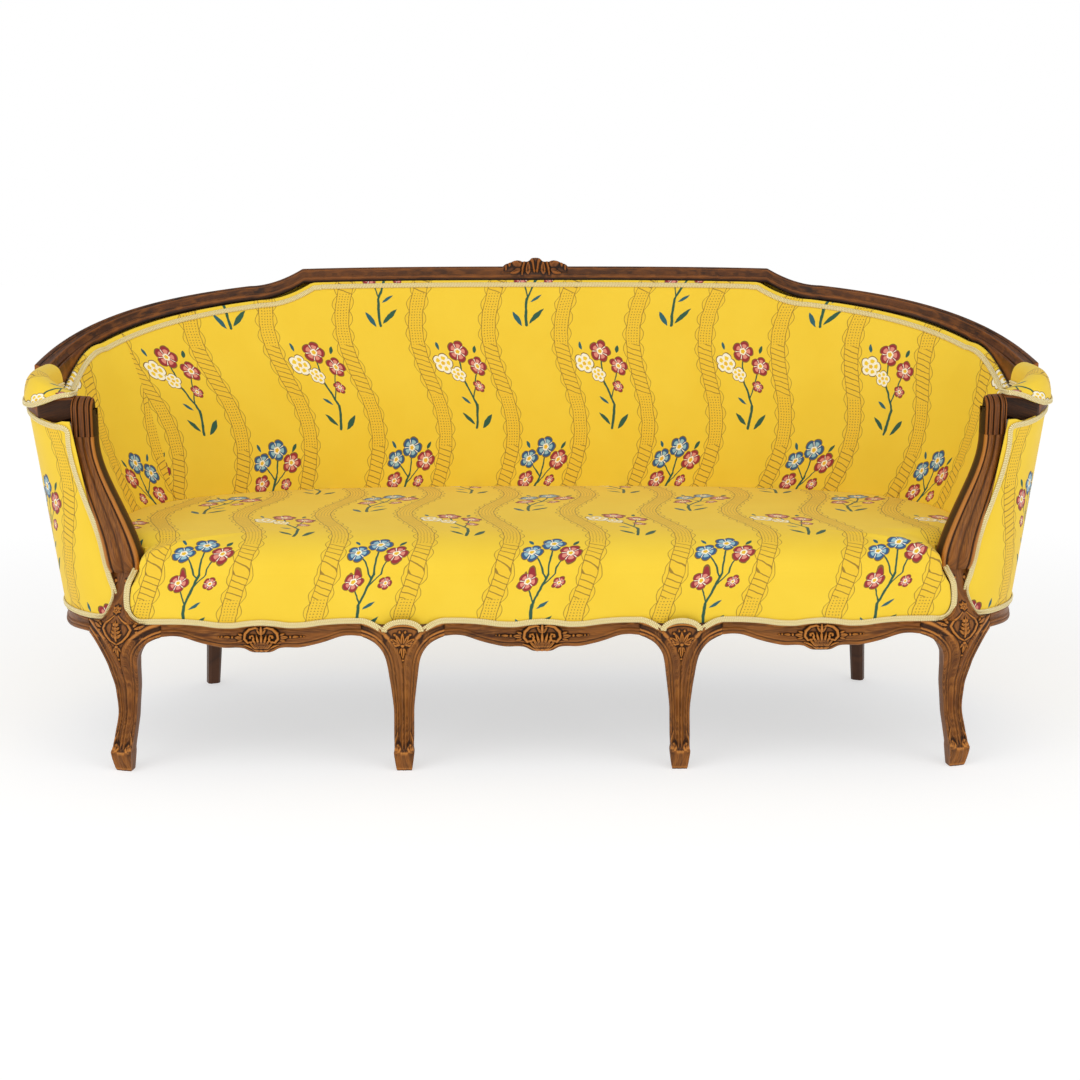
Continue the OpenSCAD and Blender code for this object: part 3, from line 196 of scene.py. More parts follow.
def frame_at(u, d, z):
    """Point at distance u along the seat frame, d in from its face, at height z. Negative u is the left side."""
    u, d, z = np.broadcast_arrays(*(np.asarray(v, float) for v in (u, d, z)))
    v = np.clip(np.abs(u), 0, PATH_U[-1])
    a, b = np.maximum(v - 4, 0), np.minimum(v + 4, PATH_U[-1])
    tx = np.interp(b, PATH_U, PATH_X) - np.interp(a, PATH_U, PATH_X)
    ty = np.interp(b, PATH_U, PATH_Y) - np.interp(a, PATH_U, PATH_Y)
    n = np.hypot(tx, ty)
    x = np.interp(v, PATH_U, PATH_X) - d * ty / n
    y = np.interp(v, PATH_U, PATH_Y) + d * tx / n
    return np.stack([np.where(u < 0, -x, x), y, z], -1)


# ---------------------------------------------------------------- meshes from rings of points
class Piece:
    """A mesh object of closed skins. Each skin is rings of points in millimetres, joined ring to ring, with a fan
    over each end. uv is in metres along and across the surface; tone is -1 in crevices and on backs and undersides,
    where the colour gets painted shade, and 1 on raised edges, which are painted pale as highlight and wear."""

    def __init__(self):
        self.v, self.loops, self.sizes, self.uv, self.tone, self.count = [], [], [], [], [], 0

    def skin(self, rings, uv=None, tone=None):
        rings = np.asarray(rings, float)
        m, n = rings.shape[:2]
        if uv is None:
            uv = ring_uv(rings)
        tone = np.zeros((m, n)) if tone is None else tone
        i, j = np.meshgrid(np.arange(m - 1), np.arange(n), indexing="ij")
        k = (j + 1) % n
        quads = np.stack([i * n + j, i * n + k, (i + 1) * n + k, (i + 1) * n + j], -1).reshape(-1, 4)
        w = n + 1
        quads_uv = np.stack([i * w + j, i * w + j + 1, (i + 1) * w + j + 1, (i + 1) * w + j], -1).reshape(-1, 4)
        v = np.concatenate([rings.reshape(-1, 3), rings[[0, -1]].mean(1)])
        flat_uv = np.concatenate([np.asarray(uv, float).reshape(-1, 2), uv[[0, -1]].mean(1)])
        c, d = np.arange(n), (np.arange(n) + 1) % n
        first, last = m * n, (m - 1) * n
        fans = np.concatenate([np.stack([c * 0 + first, d, c], -1),
                               np.stack([c * 0 + first + 1, last + c, last + d], -1)])
        fu = m * w
        fans_uv = np.concatenate([np.stack([c * 0 + fu, c + 1, c], -1),
                                  np.stack([c * 0 + fu + 1, (m - 1) * w + c, (m - 1) * w + c + 1], -1)])
        a, b, e, g = (v[quads[:, q]] for q in range(4))
        middle = v.mean(0)
        size = (np.cross(b - a, e - a) * (a - middle)).sum() + (np.cross(e - a, g - a) * (a - middle)).sum()
        a, b, e = (v[fans[:, q]] for q in range(3))
        size += (np.cross(b - a, e - a) * (a - middle)).sum()
        if size < 0:
            quads, quads_uv, fans, fans_uv = (q[:, ::-1] for q in (quads, quads_uv, fans, fans_uv))
        self.loops += [quads.ravel() + self.count, fans.ravel() + self.count]
        self.uv.append(flat_uv[np.concatenate([quads_uv.ravel(), fans_uv.ravel()])])
        self.sizes += [np.full(len(quads), 4), np.full(len(fans), 3)]
        self.v.append(v)
        self.tone.append(np.concatenate([tone.ravel(), tone[[0, -1]].mean(1)]))
        self.count += len(v)
        return self

    def build(self, name, material, slot, nodes=(), mirror=False, angle=42):
        v, loops = np.concatenate(self.v) * MM, np.concatenate(self.loops)
        uv, sizes = np.concatenate(self.uv), np.concatenate(self.sizes)
        starts = np.concatenate([[0], np.cumsum(sizes)[:-1]])
        if mirror:
            v = v * [-1, 1, 1]
            turned = np.repeat(starts + sizes - 1, sizes) - (np.arange(len(loops)) - np.repeat(starts, sizes))
            loops, uv = loops[turned], uv[turned]
        me = bpy.data.meshes.new(name)
        me.vertices.add(len(v))
        me.vertices.foreach_set("co", v.ravel())
        me.loops.add(len(loops))
        me.loops.foreach_set("vertex_index", loops.astype(np.int32))
        me.polygons.add(len(sizes))
        me.polygons.foreach_set("loop_start", starts.astype(np.int32))
        me.update(calc_edges=True)
        me.uv_layers.new(name="UVMap").data.foreach_set("uv", uv.ravel())
        me.attributes.new("tone", "FLOAT", "POINT").data.foreach_set("value", np.concatenate(self.tone))
        me.polygons.foreach_set("use_smooth", np.ones(len(sizes), bool))
        me.set_sharp_from_angle(angle=math.radians(angle))
        me.materials.append(material)
        piece = bpy.data.objects.new(name, me)
        bpy.context.scene.collection.objects.link(piece)
        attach(piece, "root")
        if nodes:
            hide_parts(*nodes)
        return piece

    def pair(self, stem, material, slot, node=None, **more):
        """The right-hand piece and its mirror image."""
        node = node or stem
        return [self.build(f"{stem}_{side}", material, slot, [f"{node}_{side}"], mirror=side == "left", **more)
                for side in ("right", "left")]


def ring_uv(rings):
    """Metres along the skin and round it."""
    m, n = rings.shape[:2]
    along = np.linalg.norm(np.diff(rings.mean(1), axis=0), axis=-1)
    along = np.concatenate([[0], np.cumsum(along)])[:, None] + np.zeros((1, n + 1))
    closed = np.concatenate([rings, rings[:, :1]], 1)
    across = np.linalg.norm(np.diff(closed, axis=1), axis=-1)
    across = np.concatenate([np.zeros((m, 1)), np.cumsum(across, 1)], 1)
    return np.stack([along, across], -1) * MM


def wrap_uv(uv):
    return np.concatenate([uv, uv[:, :1]], 1)


def blur(a, k):
    """Mean over a window of k steps each way, along both axes."""
    for axis in (0, 1):
        p = np.concatenate([np.repeat(a.take([0], axis), k, axis), a, np.repeat(a.take([-1], axis), k, axis)], axis)
        c = np.cumsum(p, axis)
        n = a.shape[axis]
        zero = np.zeros_like(c.take([0], axis))
        c = np.concatenate([zero, c], axis)
        a = (c.take(range(2 * k + 1, 2 * k + 1 + n), axis) - c.take(range(n), axis)) / (2 * k + 1)
    return a


def hollows(height, k, depth):
    """Tone from a relief, the mask of painted shade and highlight: how far each place stands over its surroundings."""
    return np.clip((height - blur(height, k)) / depth, -1, 1)


def along_line(points, step):
    """The same line of points in even steps of about that length."""
    points = np.asarray(points, float)
    d = np.concatenate([[0], np.cumsum(np.linalg.norm(np.diff(points[:, :3], axis=0), axis=-1))])
    at = np.linspace(0, d[-1], max(3, int(round(d[-1] / step)) + 1))
    return np.stack([np.interp(at, d, points[:, k]) for k in range(points.shape[1])], -1), at


# ---------------------------------------------------------------- carving, as heights over a flat ground
def leaf(x, z, cx, cz, turn, long, wide, high, vein=0.45):
    """A leaf or petal from its base at (cx, cz) towards turn degrees: rounded across, with a sunk vein."""
    c, s = math.cos(turn * deg), math.sin(turn * deg)
    l, w = (x - cx) * c + (z - cz) * s, (z - cz) * c - (x - cx) * s
    f = unit(l / long)
    half = wide * np.sin(math.pi * f ** 0.75) ** 0.8 + 1e-6
    on = (l > 0) & (l < long) & (np.abs(w) < half)
    body = np.sqrt(np.clip(1 - (w / half) ** 2, 0, 1)) * (0.5 + 0.5 * np.sin(math.pi * f ** 0.8))
    return np.where(on, high * (body - vein * np.exp(-(w / (0.14 * wide)) ** 2) * np.sin(math.pi * f)), 0)


def dot(x, z, cx, cz, r, high):
    return high * bump(np.hypot(x - cx, z - cz), r)


def stroke(x, z, points, wide, high):
    """A rounded moulding along a line of points; its half width may change from point to point."""
    points = np.asarray(points, float)
    wide = np.broadcast_to(np.asarray(wide, float), (len(points),))
    best = np.zeros(np.broadcast(x, z).shape)
    for (a, b), (p, q) in zip(zip(points[:-1], points[1:]), zip(wide[:-1], wide[1:])):
        d = b - a
        f = unit(((x - a[0]) * d[0] + (z - a[1]) * d[1]) / max(d @ d, 1e-9))
        w = p + (q - p) * f
        best = np.maximum(best, high * w / wide.max() * bump(np.hypot(x - a[0] - f * d[0], z - a[1] - f * d[1]), w))
    return best


def scroll(cx, cz, r, turns, start, hand=1, n=30, tail=0.22):
    """Points of a spiral that runs in to its eye at (cx, cz)."""
    f = np.linspace(0, 1, n)
    a = start * deg + hand * f * turns * 2 * math.pi
    rr = r * (tail + (1 - tail) * (1 - f))
    return np.stack([cx + rr * np.cos(a), cz + rr * np.sin(a)], -1)


def most(*heights):
    out = heights[0]
    for h in heights[1:]:
        out = np.maximum(out, h)
    return out


def leaves(x, z, *rows):
    return most(*[leaf(x, z, *row) for row in rows])


def dots(x, z, *rows):
    return most(*[dot(x, z, *row) for row in rows])


# ---------------------------------------------------------------- materials
class Val:
    """A socket of a material whose sums and products become Math or Vector Math nodes."""

    def __init__(self, shader, socket):
        self.shader, self.socket = shader, socket

    def many(self):
        return self.socket.type in ("VECTOR", "RGBA")

    def _do(self, op, *args):
        many = any(isinstance(a, Val) and a.many() for a in args)
        if many:
            args = [(a,) * 3 if isinstance(a, (int, float)) else a for a in args]
        return self.shader.node("ShaderNodeVectorMath" if many else "ShaderNodeMath", args, operation=op)

    def __add__(self, o): return self._do("ADD", self, o)
    def __radd__(self, o): return self._do("ADD", o, self)
    def __sub__(self, o): return self._do("SUBTRACT", self, o)
    def __rsub__(self, o): return self._do("SUBTRACT", o, self)
    def __mul__(self, o): return self._do("MULTIPLY", self, o)
    def __rmul__(self, o): return self._do("MULTIPLY", o, self)
    def __truediv__(self, o): return self._do("DIVIDE", self, o)
    def __rtruediv__(self, o): return self._do("DIVIDE", o, self)
    def __pow__(self, o): return self._do("POWER", self, o)
    def __neg__(self): return self._do("MULTIPLY", self, -1.0)

    def fn(self, op, *more):
        return self._do(op, self, *more)

    def length(self):
        return self.shader.node("ShaderNodeVectorMath", [self], out=1, operation="LENGTH")

    def dot(self, o):
        return self.shader.node("ShaderNodeVectorMath", [self, o], out=1, operation="DOT_PRODUCT")

    def under(self, edge, soft):
        """1 where the value is under edge, 0 over it."""
        return self.shader.node("ShaderNodeMapRange", {"Value": self, "From Min": edge + soft, "From Max": edge - soft},
                                interpolation_type="SMOOTHSTEP")

    def over(self, edge, soft):
        return self.shader.node("ShaderNodeMapRange", {"Value": self, "From Min": edge - soft, "From Max": edge + soft},
                                interpolation_type="SMOOTHSTEP")


class Shader:
    def __init__(self, name, **base):
        self.material = bpy.data.materials.new(name)
        self.material.use_nodes = True
        self.tree = self.material.node_tree
        self.tree.nodes.clear()
        self.bsdf = self.tree.nodes.new("ShaderNodeBsdfPrincipled")
        out = self.tree.nodes.new("ShaderNodeOutputMaterial")
        self.tree.links.new(self.bsdf.outputs[0], out.inputs[0])
        self.set(**base)

    def put(self, socket, value):
        if isinstance(value, Val):
            self.tree.links.new(value.socket, socket)
        elif socket.type == "RGBA" and len(value) == 3:
            socket.default_value = (*value, 1)
        else:
            socket.default_value = value

    def node(self, kind, values=(), out=0, **settings):
        n = self.tree.nodes.new(kind)
        for key, value in settings.items():
            setattr(n, key, value)
        for key, value in (values.items() if isinstance(values, dict) else enumerate(values)):
            self.put(n.inputs[key], value)
        return Val(self, n.outputs[out])

    def set(self, **values):
        for key, value in values.items():
            self.put(self.bsdf.inputs[key.replace("_", " ")], value)

    def mix(self, f, a, b):
        return self.node("ShaderNodeMix", {0: f, 6: a, 7: b}, out=2, data_type="RGBA")

    def blend(self, f, a, b):
        return self.node("ShaderNodeMix", {0: f, 4: a, 5: b}, out=1, data_type="VECTOR")

    def uv(self):
        return self.node("ShaderNodeUVMap", uv_map="UVMap")

    def place(self):
        return self.node("ShaderNodeTexCoord", out=3)

    def attribute(self, name):
        return self.node("ShaderNodeAttribute", out=2, attribute_name=name)

    def vector(self, x, y, z=0.0):
        return self.node("ShaderNodeCombineXYZ", [x, y, z])

    def parts(self, v):
        n = self.tree.nodes.new("ShaderNodeSeparateXYZ")
        self.tree.links.new(v.socket, n.inputs[0])
        return [Val(self, o) for o in n.outputs]

    def noise(self, v, scale, detail=3.0, rough=0.55, out=0):
        values = {"Vector": v, "Scale": scale, "Detail": detail, "Roughness": rough}
        return self.node("ShaderNodeTexNoise", values, out=out)

    def bump(self, height, strength, distance, normal=None):
        values = {"Height": height, "Strength": strength, "Distance": distance}
        if normal is not None:
            values["Normal"] = normal
        return self.node("ShaderNodeBump", values)


def rgb(r, g, b):
    """Screen colour, 0 to 255, as linear light."""
    return tuple(c / 12.92 if c <= 0.04045 else ((c + 0.055) / 1.055) ** 2.4 for c in (r / 255, g / 255, b / 255))


def wood(name, dark, middle, light, gloss=0.42, seed=0.0):
    """Waxed wood: grain along the first axis of the map, open pores, painted shade in crevices and on backs and
    undersides, and raised edges painted pale as highlight and wear.
    """
    s = Shader(name, Coat_Weight=0.05, Coat_Roughness=0.3, Specular_IOR_Level=0.24)
    u, v, _ = s.parts(s.uv())
    tone = s.attribute("tone")
    here = s.place()
    warp = s.noise(here, 9.0, 2.0) - 0.5
    long = s.vector(u * 3.0 + seed, v * 46.0 + warp * 1.1, seed)
    figure = s.noise(long, 1.6, 4.0, 0.62)
    fine = s.noise(s.vector(u * 26.0, v * 520.0 + warp * 4.0, seed), 1.4, 2.0, 0.5)
    pore = s.noise(s.vector(u * 55.0 + 7.0, v * 1150.0, seed), 1.0, 1.0, 0.4).over(0.63, 0.05)
    cloud = s.noise(here, 4.5, 2.0)
    base = s.mix(figure.over(0.5, 0.2), dark, middle)
    base = s.mix(fine.over(0.56, 0.16) * 0.55, base, light)
    base = s.mix(pore * 0.5, base, tuple(c * 0.35 for c in dark))
    base = s.mix(cloud.over(0.56, 0.16) * 0.22, base, light)
    # painted highlight and wear: where tone is high, on raised edges, the colour is mixed towards a paler wood
    base = s.mix(tone.over(0.42, 0.32) * 0.62, base, tuple(min(1, c * 1.5) for c in light))
    # painted shade: where tone is low, in crevices and on backs and undersides, the colour is darkened towards deep
    # brown
    painted_shade = s.mix(tone.under(-0.24, 0.26) * 0.86, base, tuple(c * 0.22 for c in dark))
    s.set(Base_Color=painted_shade, Roughness=fine * 0.16 + (gloss - 0.06) + tone.under(-0.2, 0.2) * 0.2)
    s.set(Normal=s.bump(fine * 0.35 - pore * 0.5 + figure * 0.4, 0.22, 0.0008))
    return s.material


YELLOW, OCHRE, LINE = rgb(243, 203, 36), rgb(236, 186, 30), rgb(128, 94, 26)
CRIMSON, ROSE, BLUE, SKY = rgb(150, 26, 38), rgb(226, 140, 120), rgb(26, 84, 130), rgb(150, 190, 200)
GREEN, TEAL, WHITE = rgb(22, 84, 62), rgb(18, 92, 100), rgb(252, 246, 220)
REPEAT_W, REPEAT_H, RIBBON, RUNG = 0.33, 0.44, 0.0155, 0.0115


def segment(s, q, a, b):
    """Distance from q to the line between two points of the print."""
    d = (b[0] - a[0], b[1] - a[1], 0.0)
    f = (q - (a[0], a[1], 0.0)).dot(tuple(c / (d[0] ** 2 + d[1] ** 2) for c in d))
    f = f.fn("MAXIMUM", 0.0).fn("MINIMUM", 1.0)
    foot = s.node("ShaderNodeVectorMath", {0: d, 3: f}, operation="SCALE")
    return (q - (a[0], a[1], 0.0) - foot).length()


def blade(q, x, y, turn, long, wide):
    """1 inside a pointed leaf with its middle at (x, y): where two discs overlap."""
    r = (long ** 2 + wide ** 2) / (4 * wide)
    nx, ny = -math.sin(turn * deg) * (r - wide / 2), math.cos(turn * deg) * (r - wide / 2)
    far = (q - (x + nx, y + ny, 0.0)).length().fn("MAXIMUM", (q - (x - nx, y - ny, 0.0)).length())
    return far.under(r, 0.0004)


def bouquet(s, ground, q, flowers, stems, leaves):
    """A sprig of the print: stems, pointed leaves and round flowers with petals, a pale throat and a dark rim."""
    for a, b, wide, colour in stems:
        ground = s.mix(segment(s, q, a, b).under(wide, 0.0004), ground, colour)
    for x, y, turn, long, wide, colour in leaves:
        ground = s.mix(blade(q, x, y, turn, long, wide), ground, colour)
    near, best, petal, inner = None, None, None, None
    for x, y, r, outer, pale in flowers:
        v = (q - (x, y, 0.0)) * (1 / r)
        d = v.length()
        if best is None:
            near, best, petal, inner = v, d, outer, pale
        else:
            closer = d.fn("LESS_THAN", best)
            near, petal, inner = s.blend(closer, near, v), s.mix(closer, petal, outer), s.mix(closer, inner, pale)
            best = best.fn("MINIMUM", d)
    x, y, _ = s.parts(near)
    angle = y.fn("ARCTAN2", x) * 2.5
    lobe = angle.fn("COSINE").fn("ABSOLUTE")
    rim = lobe ** 0.55 * 0.3 + 0.72
    f = best / rim
    ground = s.mix(f.under(1.1, 0.02), ground, LINE)
    ground = s.mix(f.under(1.0, 0.02), ground, petal)
    ground = s.mix(f.under(0.74, 0.04) * lobe.over(0.62, 0.1) * f.over(0.36, 0.04), ground, inner)
    ground = s.mix(lobe.under(0.16, 0.05) * f.under(0.98, 0.03) * f.over(0.3, 0.03), ground, WHITE)
    ground = s.mix(f.under(0.36, 0.03), ground, WHITE)
    return s.mix(f.under(0.22, 0.03), ground, OCHRE)


def cloth():
    """Printed cotton: serpentine ribbons with rungs and dots, and between them two sprigs of flowers in turn."""
    s = Shader("printed_cotton", Roughness=0.72, Sheen_Weight=0.12, Sheen_Roughness=0.5)
    uv = s.uv()
    drawn = uv + (s.noise(uv, 42.0, 2.0, out=1) - 0.5) * 0.006
    x, y, _ = s.parts(drawn)
    x = x - (y * (2 * math.pi / REPEAT_H)).fn("SINE") * 0.026
    cloud = s.noise(uv, 7.0, 3.0)
    ground = s.mix(cloud.over(0.5, 0.3) * 0.5, YELLOW, rgb(250, 215, 56))
    r = ((x / (REPEAT_W / 2)).fn("FRACT") - 0.5) * (REPEAT_W / 2)
    a = r.fn("ABSOLUTE")
    scallop = (y * (math.pi / 0.034)).fn("SINE").fn("ABSOLUTE") * 0.008 + RIBBON
    edge = (a - scallop).fn("ABSOLUTE")
    inside = (a - scallop).under(0.0, 0.0003)
    band = a.under(RIBBON, 0.0003)
    rungs = (y * (2 * math.pi / RUNG) + r * 190.0).fn("SINE").over(0.86, 0.06)
    spots = (y * (2 * math.pi / RUNG)).fn("SINE") * (r * (2 * math.pi / 0.0124)).fn("SINE")
    spots = spots.fn("ABSOLUTE").over(0.82, 0.05)
    half = (y * (2 * math.pi / (REPEAT_H / 2)) + 0.8).fn("SINE").over(0.0, 0.04)
    ground = s.mix(inside * 0.25, ground, OCHRE)
    ground = s.mix(band * 0.3, ground, OCHRE)
    ground = s.mix(band * half * rungs * 0.8, ground, LINE)
    ground = s.mix(band * (1 - half) * spots * 0.85, ground, LINE)
    ground = s.mix(edge.under(0.0008, 0.0004) * 0.75, ground, LINE)
    ground = s.mix((a - RIBBON).fn("ABSOLUTE").under(0.0007, 0.0004) * 0.85, ground, LINE)
    col, row = x / REPEAT_W, y / REPEAT_H
    first = s.vector(((col + 0.5).fn("FRACT") - 0.5) * REPEAT_W, ((row + 0.5).fn("FRACT") - 0.5) * REPEAT_H)
    second = s.vector((col.fn("FRACT") - 0.5) * REPEAT_W, (row.fn("FRACT") - 0.5) * REPEAT_H)
    ground = bouquet(
        s, ground, first,
        [(-0.036, 0.052, 0.020, BLUE, SKY), (0.000, 0.078, 0.022, BLUE, SKY), (0.037, 0.050, 0.021, CRIMSON, ROSE),
         (-0.030, 0.006, 0.018, CRIMSON, ROSE), (0.030, 0.004, 0.012, CRIMSON, ROSE)],
        [((0.004, -0.098), (-0.006, -0.040), 0.0030, GREEN), ((-0.006, -0.040), (0.004, 0.020), 0.0026, GREEN),
         ((0.004, 0.020), (0.000, 0.076), 0.0018, GREEN), ((0.003, 0.012), (-0.034, 0.050), 0.0014, GREEN),
         ((0.000, -0.004), (0.036, 0.050), 0.0014, GREEN), ((-0.006, -0.036), (-0.030, 0.004), 0.0013, GREEN)],
        [(-0.018, -0.084, 128, 0.040, 0.010, TEAL), (0.024, -0.078, 48, 0.044, 0.011, GREEN),
         (0.014, -0.040, 38, 0.026, 0.007, TEAL), (0.042, 0.082, 60, 0.020, 0.008, GREEN),
         (-0.044, 0.084, 120, 0.018, 0.007, TEAL)])
    ground = bouquet(
        s, ground, second,
        [(-0.038, 0.040, 0.021, WHITE, YELLOW), (0.004, 0.066, 0.022, CRIMSON, ROSE),
         (0.040, 0.034, 0.019, CRIMSON, ROSE), (-0.012, 0.016, 0.016, WHITE, YELLOW),
         (0.026, -0.010, 0.012, CRIMSON, ROSE)],
        [((-0.006, -0.100), (0.006, -0.050), 0.0030, GREEN), ((0.006, -0.050), (-0.004, 0.000), 0.0024, GREEN),
         ((-0.004, 0.000), (0.004, 0.064), 0.0016, GREEN), ((-0.002, -0.004), (-0.036, 0.038), 0.0013, GREEN),
         ((0.003, -0.036), (0.038, 0.032), 0.0013, GREEN)],
        [(0.022, -0.086, 50, 0.042, 0.011, GREEN), (-0.022, -0.080, 132, 0.036, 0.009, GREEN),
         (-0.016, -0.040, 140, 0.024, 0.007, TEAL), (-0.040, 0.078, 100, 0.018, 0.007, TEAL),
         (0.044, 0.070, 70, 0.018, 0.008, GREEN)])
    fine = s.noise(uv, 1600.0, 1.0)
    soft = s.noise(s.place(), 13.0, 2.0)
    s.set(Base_Color=s.mix(fine.over(0.5, 0.3) * 0.06, ground, LINE))
    s.set(Normal=s.bump(fine, 0.12, 0.0003, s.bump(soft, 0.16, 0.006)))
    return s.material


WALNUT = wood("walnut_carved", rgb(66, 30, 4), rgb(134, 76, 20), rgb(178, 114, 46))
DARK = wood("walnut_dark", rgb(42, 19, 2), rgb(96, 50, 8), rgb(142, 82, 26), seed=3.0)
# painted shade: a darker copy of the walnut for the rear rail and rear legs, which stand in shade behind and under the
# seat
SHADE = wood("walnut_rear", rgb(34, 18, 9), rgb(74, 42, 20), rgb(104, 62, 32), seed=5.0)
BEECH = wood("beech", rgb(150, 112, 66), rgb(196, 160, 108), rgb(214, 182, 132), gloss=0.62, seed=8.0)
COTTON = cloth()


# ---------------------------------------------------------------- front legs
SHIN = [[0, 0.5], [0.125, 0.515], [0.15, 0.48], [0.25, 0.5], [0.37, 0.5], [0.53, 0.61], [0.62, 0.7]]
KNEE = [[0.62, 0.0], [0.716, 0.07], [0.767, 0.135], [0.808, 0.235], [0.849, 0.405], [0.8757, 0.58], [0.888, 0.73],
        [0.8959, 0.86], [EAR, 1], [1, 1]]
SWEEP = [[0, 0.28], [0.125, 0], [0.15, 0.12], [0.25, 0.5], [0.37, 0.95], [0.53, 1], [0.69, 0.55], [0.81, 0.15],
         [0.9, 0], [1, 0.1]]
DEPTH = [[0, 0.72], [0.125, 1.03], [0.15, 0.98], [0.37, 0.94], [0.53, 0.99], [0.69, 1.14], [0.81, 1.42], [1, 1.5]]
RAIL_FACE = [[0, 2.6], [0.04, 0.7], [0.09, 0], [0.14, 0.3], [0.18, 1.6], [0.21, 1.8], [0.24, 1.1], [0.27, 1.0],
             [0.3, 1.5], [0.36, 3.0], [0.55, 4.2], [0.74, 3.4], [0.8, 2.0], [0.85, 0.4], [0.9, 0], [0.95, 0.3],
             [1, 1.8]]
RIM = [[0, 2.4], [1.2, 0.6], [2.6, 0], [4.0, 0.7], [5.2, 2.2], [7, 3.0], [90, 3.0]]
BAND_W, LEG_CORE = 29.0, ANKLE_W * 0.68
POST = [[0, 0.54], [0.1, 0.36], [0.25, 0.24], [0.6, 0.17], [0.85, 0.21], [1, 0.29]]


def leg_half(s):
    low = ANKLE_W * table(s, SHIN)
    foot = mix(FOOT_W / 2, ANKLE_W * 0.515, unit(s / 0.125) ** 0.8)
    high = mix(ANKLE_W * 0.7, KNEE_REACH, table(s, KNEE))
    return np.where(s < 0.125, foot, np.where(s <= 0.62, low, high))


def leg_front(s):
    return LEG_SWEEP * table(s, SWEEP) - KNEE_OUT


def knee_arc(b):
    """How far the show wood's upper edge dips beside a middle leg, b from the leg's middle: a lobe, a circle's arc,
    between two points."""
    q = np.abs(b)
    lobe = 1 + 20 * (1 - np.sqrt(np.clip(1 - (q / CUSP) ** 2, 0, 1)))
    return np.where(q < CUSP, lobe, 21 * unit((KNEE_REACH - q) / (KNEE_REACH - CUSP)) ** 1.8)


def band_depth(low, width):
    """Depth of the moulding at distance low from its lower edge: a bead, a line, a wide cove and the inner bead. Past
    its width lies the sunk ground of the carving."""
    k = np.minimum(1, width / BAND_W)
    a, b = low / k, (width - low) / k
    cove = 0.3 + 0.44 * (a - 12) / np.maximum(width / k - 21, 1)
    f = np.where(a < 12, a / 12 * 0.3, np.where(b < 9, 1 - b / 9 * 0.26, cove))
    return table(np.minimum(f, 1), RAIL_FACE) + 2.0 * ease((low - width) / 2.5)


def leg_skin(piece, u0, skew, relief, post):
    """A cabriole leg. Each level has a moulded band down either side of its face; carving stands in between."""
    s = np.concatenate([np.linspace(0, 0.02, 4)[:-1], np.linspace(0.02, 0.69, 70)[:-1], np.linspace(0.69, 1, 74)])
    hw, front, depth = leg_half(s), leg_front(s), ANKLE_W * table(s, DEPTH)
    z, at = s * RAIL_H, u0 - skew * LEG_SWEEP * table(s, SWEEP) * (1 - ease((s - 0.7) / 0.16))
    if post:
        p = np.linspace(0.01, 1, 70)
        z = np.concatenate([z, mix(RAIL_H, SUPPORT_LOW, p)])
        flare = 7.0 * ease((p - 0.45) / 0.45)
        hw = np.concatenate([hw, KNEE_REACH * table(p, POST) + flare])
        front = np.concatenate([front, mix(leg_front(1.0), SUPPORT_BACK - KNEE_OUT, ease(p))])
        depth = np.concatenate([depth, mix(depth[-1], 40, ease(p * 3))])
        at = np.concatenate([at, u0 - (u0 - SUPPORT_X) * 0.6 * p + flare])
    n = 127
    share = np.linspace(-1, 1, n)
    b = share * hw[:, None]
    dip = knee_arc(b) * ease((z[:, None] - 246) / 46) if not post else 0 * b
    zz = z[:, None] - dip
    # near is the distance from the lower edge, which runs on as the apron's edge
    es = np.linspace(0, EAR, 420)
    edge = np.concatenate([np.stack([leg_half(es), es * RAIL_H], -1),
                           np.stack([np.linspace(KNEE_REACH, 130, 60), np.full(60, EAR * RAIL_H)], -1)])
    near = np.full(b.shape, 1e9)
    for px, pz in edge:
        near = np.minimum(near, (np.abs(b) - px) ** 2 + (zz - pz) ** 2)
    near = np.sqrt(near)
    width = np.minimum(hw * 0.96, BAND_W)[:, None] + 0 * b
    e = np.where(z[:, None] > RAIL_H, 2.0, near / width)
    face = band_depth(near, width) * mix(0.2, 1, ease((z[:, None] - 40) / 8))
    face = np.where(z[:, None] > RAIL_H, table(hw[:, None] - np.abs(b), RIM), face)
    high = relief(b, zz, e)
    if not post:
        high = most(high, 3.0 * bump(z[:, None] - 288.6, 1.7) * (np.abs(b) < 35))
    d = front[:, None] + face + KNEE_OUT * (b / KNEE_REACH) ** 2 - high
    wide = unit((hw - LEG_CORE) / LEG_CORE)
    ear = front + KNEE_OUT * (hw / KNEE_REACH) ** 2
    side_b = [hw, hw * 0.995, mix(hw * 0.93, LEG_CORE, wide), mix(hw * 0.8, LEG_CORE * 0.92, wide),
              mix(hw * 0.6, LEG_CORE * 0.75, wide), mix(hw * 0.3, LEG_CORE * 0.4, wide)]
    side_d = [ear + mix(6.0, 9.0, wide), mix(front + depth * 0.5, np.maximum(RAIL_T, ear + 6), wide),
              mix(front + depth * 0.8, RAIL_T, wide),
              mix(front + depth * 0.93, RAIL_T + (front + depth - RAIL_T) * 0.6, wide),
              front + depth, front + depth + 0.6]
    back_b = np.stack(side_b + [-v for v in side_b[::-1]], -1)
    back_d = np.stack(side_d + side_d[::-1], -1)
    bb, dd = np.concatenate([b, back_b], 1), np.concatenate([d, back_d], 1)
    zz = np.concatenate([zz, z[:, None] + 0 * back_b - (0 if post else 24) * ease((z[:, None] - 270) / 22)], 1)
    rings = frame_at(at[:, None] + bb, dd, zz)
    total = high - face
    # tone for the colour: painted shade in the carving's hollows and over the leg's sides and back; the face's side
    # edges below 240 mm painted pale as a highlight line
    tone = np.concatenate([hollows(total, 3, 1.1), np.full(back_b.shape, -0.15)], 1)
    tone[:, 0] = tone[:, n - 1] = np.where(z < 240, 0.4, 0)
    uv = np.stack([zz, bb + dd], -1) * MM
    return piece.skin(rings, wrap_uv(uv), tone)


